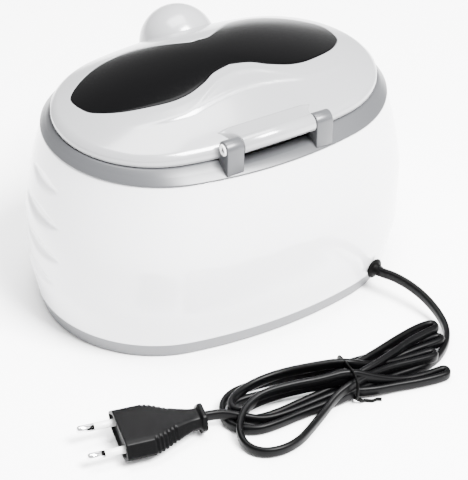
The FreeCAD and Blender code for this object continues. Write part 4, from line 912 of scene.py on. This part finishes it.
# mains lead: one flat cord from the grommet, folded in a tied hank, to the plug
cordSize = {"thick": 3.5, "wide": 6.0, "raise": 0.45, "raiseBelow": 14}
cordPoints = [
    # grommet and lead
    (-65.9, 66.4, 14.5), (-67.4, 70.2, 14.6), (-70.6, 75.1, 14.5), (-73.9, 84.3, 13.4),
    (-76.8, 92.9, 11.2), (-78.3, 102.5, 8.4), (-78, 111.6, 5.8), (-75.5, 119.8, 4),
    (-69.6, 127.2, 3), (-61, 133.2, 2.7), (-52.4, 136.2, 2.7), (-44, 136.8, 2.7),
    (-28, 135.6, 2.8), (-14, 136.4, 3.6),
    # first run left, low
    (-2, 137.4, 4.2), (12, 137.2, 3.2), (28, 136.4, 2.7), (42, 137, 2.7), (53, 136.4, 2.7),
    (61, 131.5, 2.7), (64.6, 124.5, 2.8), (64.4, 117.5, 3.4), (60, 110.6, 4.6), (52.5, 107, 5.2),
    (43, 107.2, 5.6), (30, 110, 6.6), (16, 114.4, 8), (4, 119.6, 9.6), (-6, 121.4, 10),
    # right end, upper fold B
    (-20, 121.6, 8.6), (-34, 121.8, 7.2), (-50, 122.4, 6.2), (-62, 122.6, 6.0),
    (-67, 122.9, 6.0), (-67.4, 126.6, 6.0), (-63, 127.2, 6.0), (-52, 126.6, 6.0),
    (-38, 126, 5.2), (-24, 126.6, 4.6), (-8, 128.6, 4.4),
    # second run left, middle
    (8, 129.4, 4.0), (24, 129.4, 3.2), (40, 130.2, 2.8), (52, 128.6, 2.8), (59.6, 123.6, 3.0),
    (60, 117.4, 3.6), (54.6, 113.6, 4.2), (45, 114.4, 4.6), (32, 117.6, 5.2), (18, 121.4, 6.6),
    (4, 124.6, 8.6), (-6, 125.4, 9.6),
    # right end, fold A over the top
    (-16, 124, 10), (-30, 121.6, 10.6), (-44, 118.4, 10.8), (-58, 115.6, 10.2),
    (-66, 115.6, 9.8), (-68, 117.4, 9.8), (-67, 120.8, 9.9), (-62, 121.2, 10.2),
    (-48, 123.4, 10.8), (-34, 127.6, 11), (-20, 131, 11), (-6, 132.4, 10),
    # third run left, inner loop
    (8, 128.8, 9), (22, 124.6, 8.2), (36, 122.4, 8), (48, 122.4, 8), (57, 124, 8),
    (60.8, 120.4, 8), (57.8, 115, 8.2), (50, 111.4, 8.6), (38, 109.6, 9.2), (24, 111.4, 10.4),
    (10, 117.6, 13.0), (-2, 122.4, 14.6), (-8, 126, 14.4),
    # right end, fold C
    (-18, 128.4, 9.6), (-30, 130, 7.4), (-44, 131, 6.4), (-53, 131.6, 6.2), (-56.6, 132.2, 6.2),
    (-56.6, 135.8, 6.2), (-53, 136.4, 6.4), (-42, 135.2, 7), (-28, 133.6, 8), (-14, 134.6, 9),
    (-3, 136, 9.4),
    # big drooping loop on the bench
    (8, 137.6, 7), (18, 142.2, 3.8), (30, 148.4, 2.7), (40, 153.6, 2.7), (51, 155.2, 2.7),
    (60.5, 152.4, 2.7), (65.4, 145.4, 2.8), (65.4, 136.6, 4.2), (60.6, 128.8, 7.2),
    (52, 123.4, 9.8), (42, 121.4, 11.4), (26, 124.2, 12), (10, 128.4, 12), (-4, 131.6, 13.8),
    # right end, fold D, low
    (-16, 137, 8.4), (-30, 141.2, 3.6), (-44, 143.4, 2.7), (-53, 143.4, 2.7), (-56.8, 144, 2.7),
    (-56.4, 147.9, 2.7), (-52, 148.4, 2.7), (-40, 146.4, 2.7), (-26, 142.8, 3),
    (-12, 140.4, 3.8),
    # last run, out to the plug
    (2, 133.4, 4), (18, 132.8, 3), (34, 133, 2.7), (48, 131.6, 2.9), (58, 127, 6.4),
    (65, 121.6, 7.6), (71, 119.2, 7.8), (76, 118.3, 8.0),
]
cordRoute = [(x, y, z + (cordSize["raise"] if z < cordSize["raiseBelow"] else 0))
             for x, y, z in cordPoints]


cordLine = flatCurve("mainsCord", cordRoute, cordSize["thick"], cordSize["wide"],
                     finishes["cordBlack"])
cordLine.twist_mode = "Z_UP"
cordLine.splines[0].resolution_u = 5
cordLine.bevel_resolution = 3
cord = bpy.data.objects.new("mainsCord", cordLine)
bpy.context.scene.collection.objects.link(cord)
settle(cord, "base_unit", "cord_black", "cord_lead", "cord_hank", "cord_tail")


def routeLength(route):
    # length of the same curve with no section, in metres
    holder = bpy.data.objects.new("measure", flatCurve("measure", route))
    mesh = bpy.data.meshes.new_from_object(holder)
    spots = [v.co.copy() for v in mesh.vertices]
    bpy.data.objects.remove(holder)
    bpy.data.meshes.remove(mesh)
    return sum((b - a).length for a, b in zip(spots, spots[1:]))


print("cord laid:", round(routeLength(cordRoute), 3), "m")


# floor and light: lamps as place, target, size and power
light = {
    "floor": (0.96, 0.96, 0.965), "floorHalf": 4, "world": 1.25,
    "lamps": {"key": ((-0.35, 1.0, 1.7), (0, 0.05, 0.06), (0.8, 0.8), 330),
              "fill": ((-1.2, 0.9, 0.7), (0, 0, 0.06), (1.0, 0.8), 6),
              "top": ((0.0, -0.2, 1.6), (0, 0, 0.06), (1.2, 0.8), 70)},
}
bm = bmesh.new()
bmesh.ops.create_grid(bm, x_segments=1, y_segments=1, size=light["floorHalf"])
floorMesh = toMesh(bm, "floor", finish("floorWhite", light["floor"], 0.6, tint=0.004, wear=0.03))
floor = bpy.data.objects.new("floor", floorMesh)
bpy.context.scene.collection.objects.link(floor)

world = bpy.data.worlds.new("studio")
bpy.context.scene.world = world
world.use_nodes = True
world.node_tree.nodes["Background"].inputs["Color"].default_value = (1, 1, 1, 1)
world.node_tree.nodes["Background"].inputs["Strength"].default_value = light["world"]


def areaLight(name, spot, target, size, power):
    data = bpy.data.lights.new(name, "AREA")
    data.shape = "RECTANGLE"
    data.size, data.size_y = size
    data.energy = power
    lamp = bpy.data.objects.new(name, data)
    lamp.location = spot
    lamp.rotation_euler = (Vector(target) - Vector(spot)).to_track_quat("-Z", "Y").to_euler()
    bpy.context.scene.collection.objects.link(lamp)
    return lamp


for name, values in light["lamps"].items():
    areaLight(name, *values)
print("floor and light set")
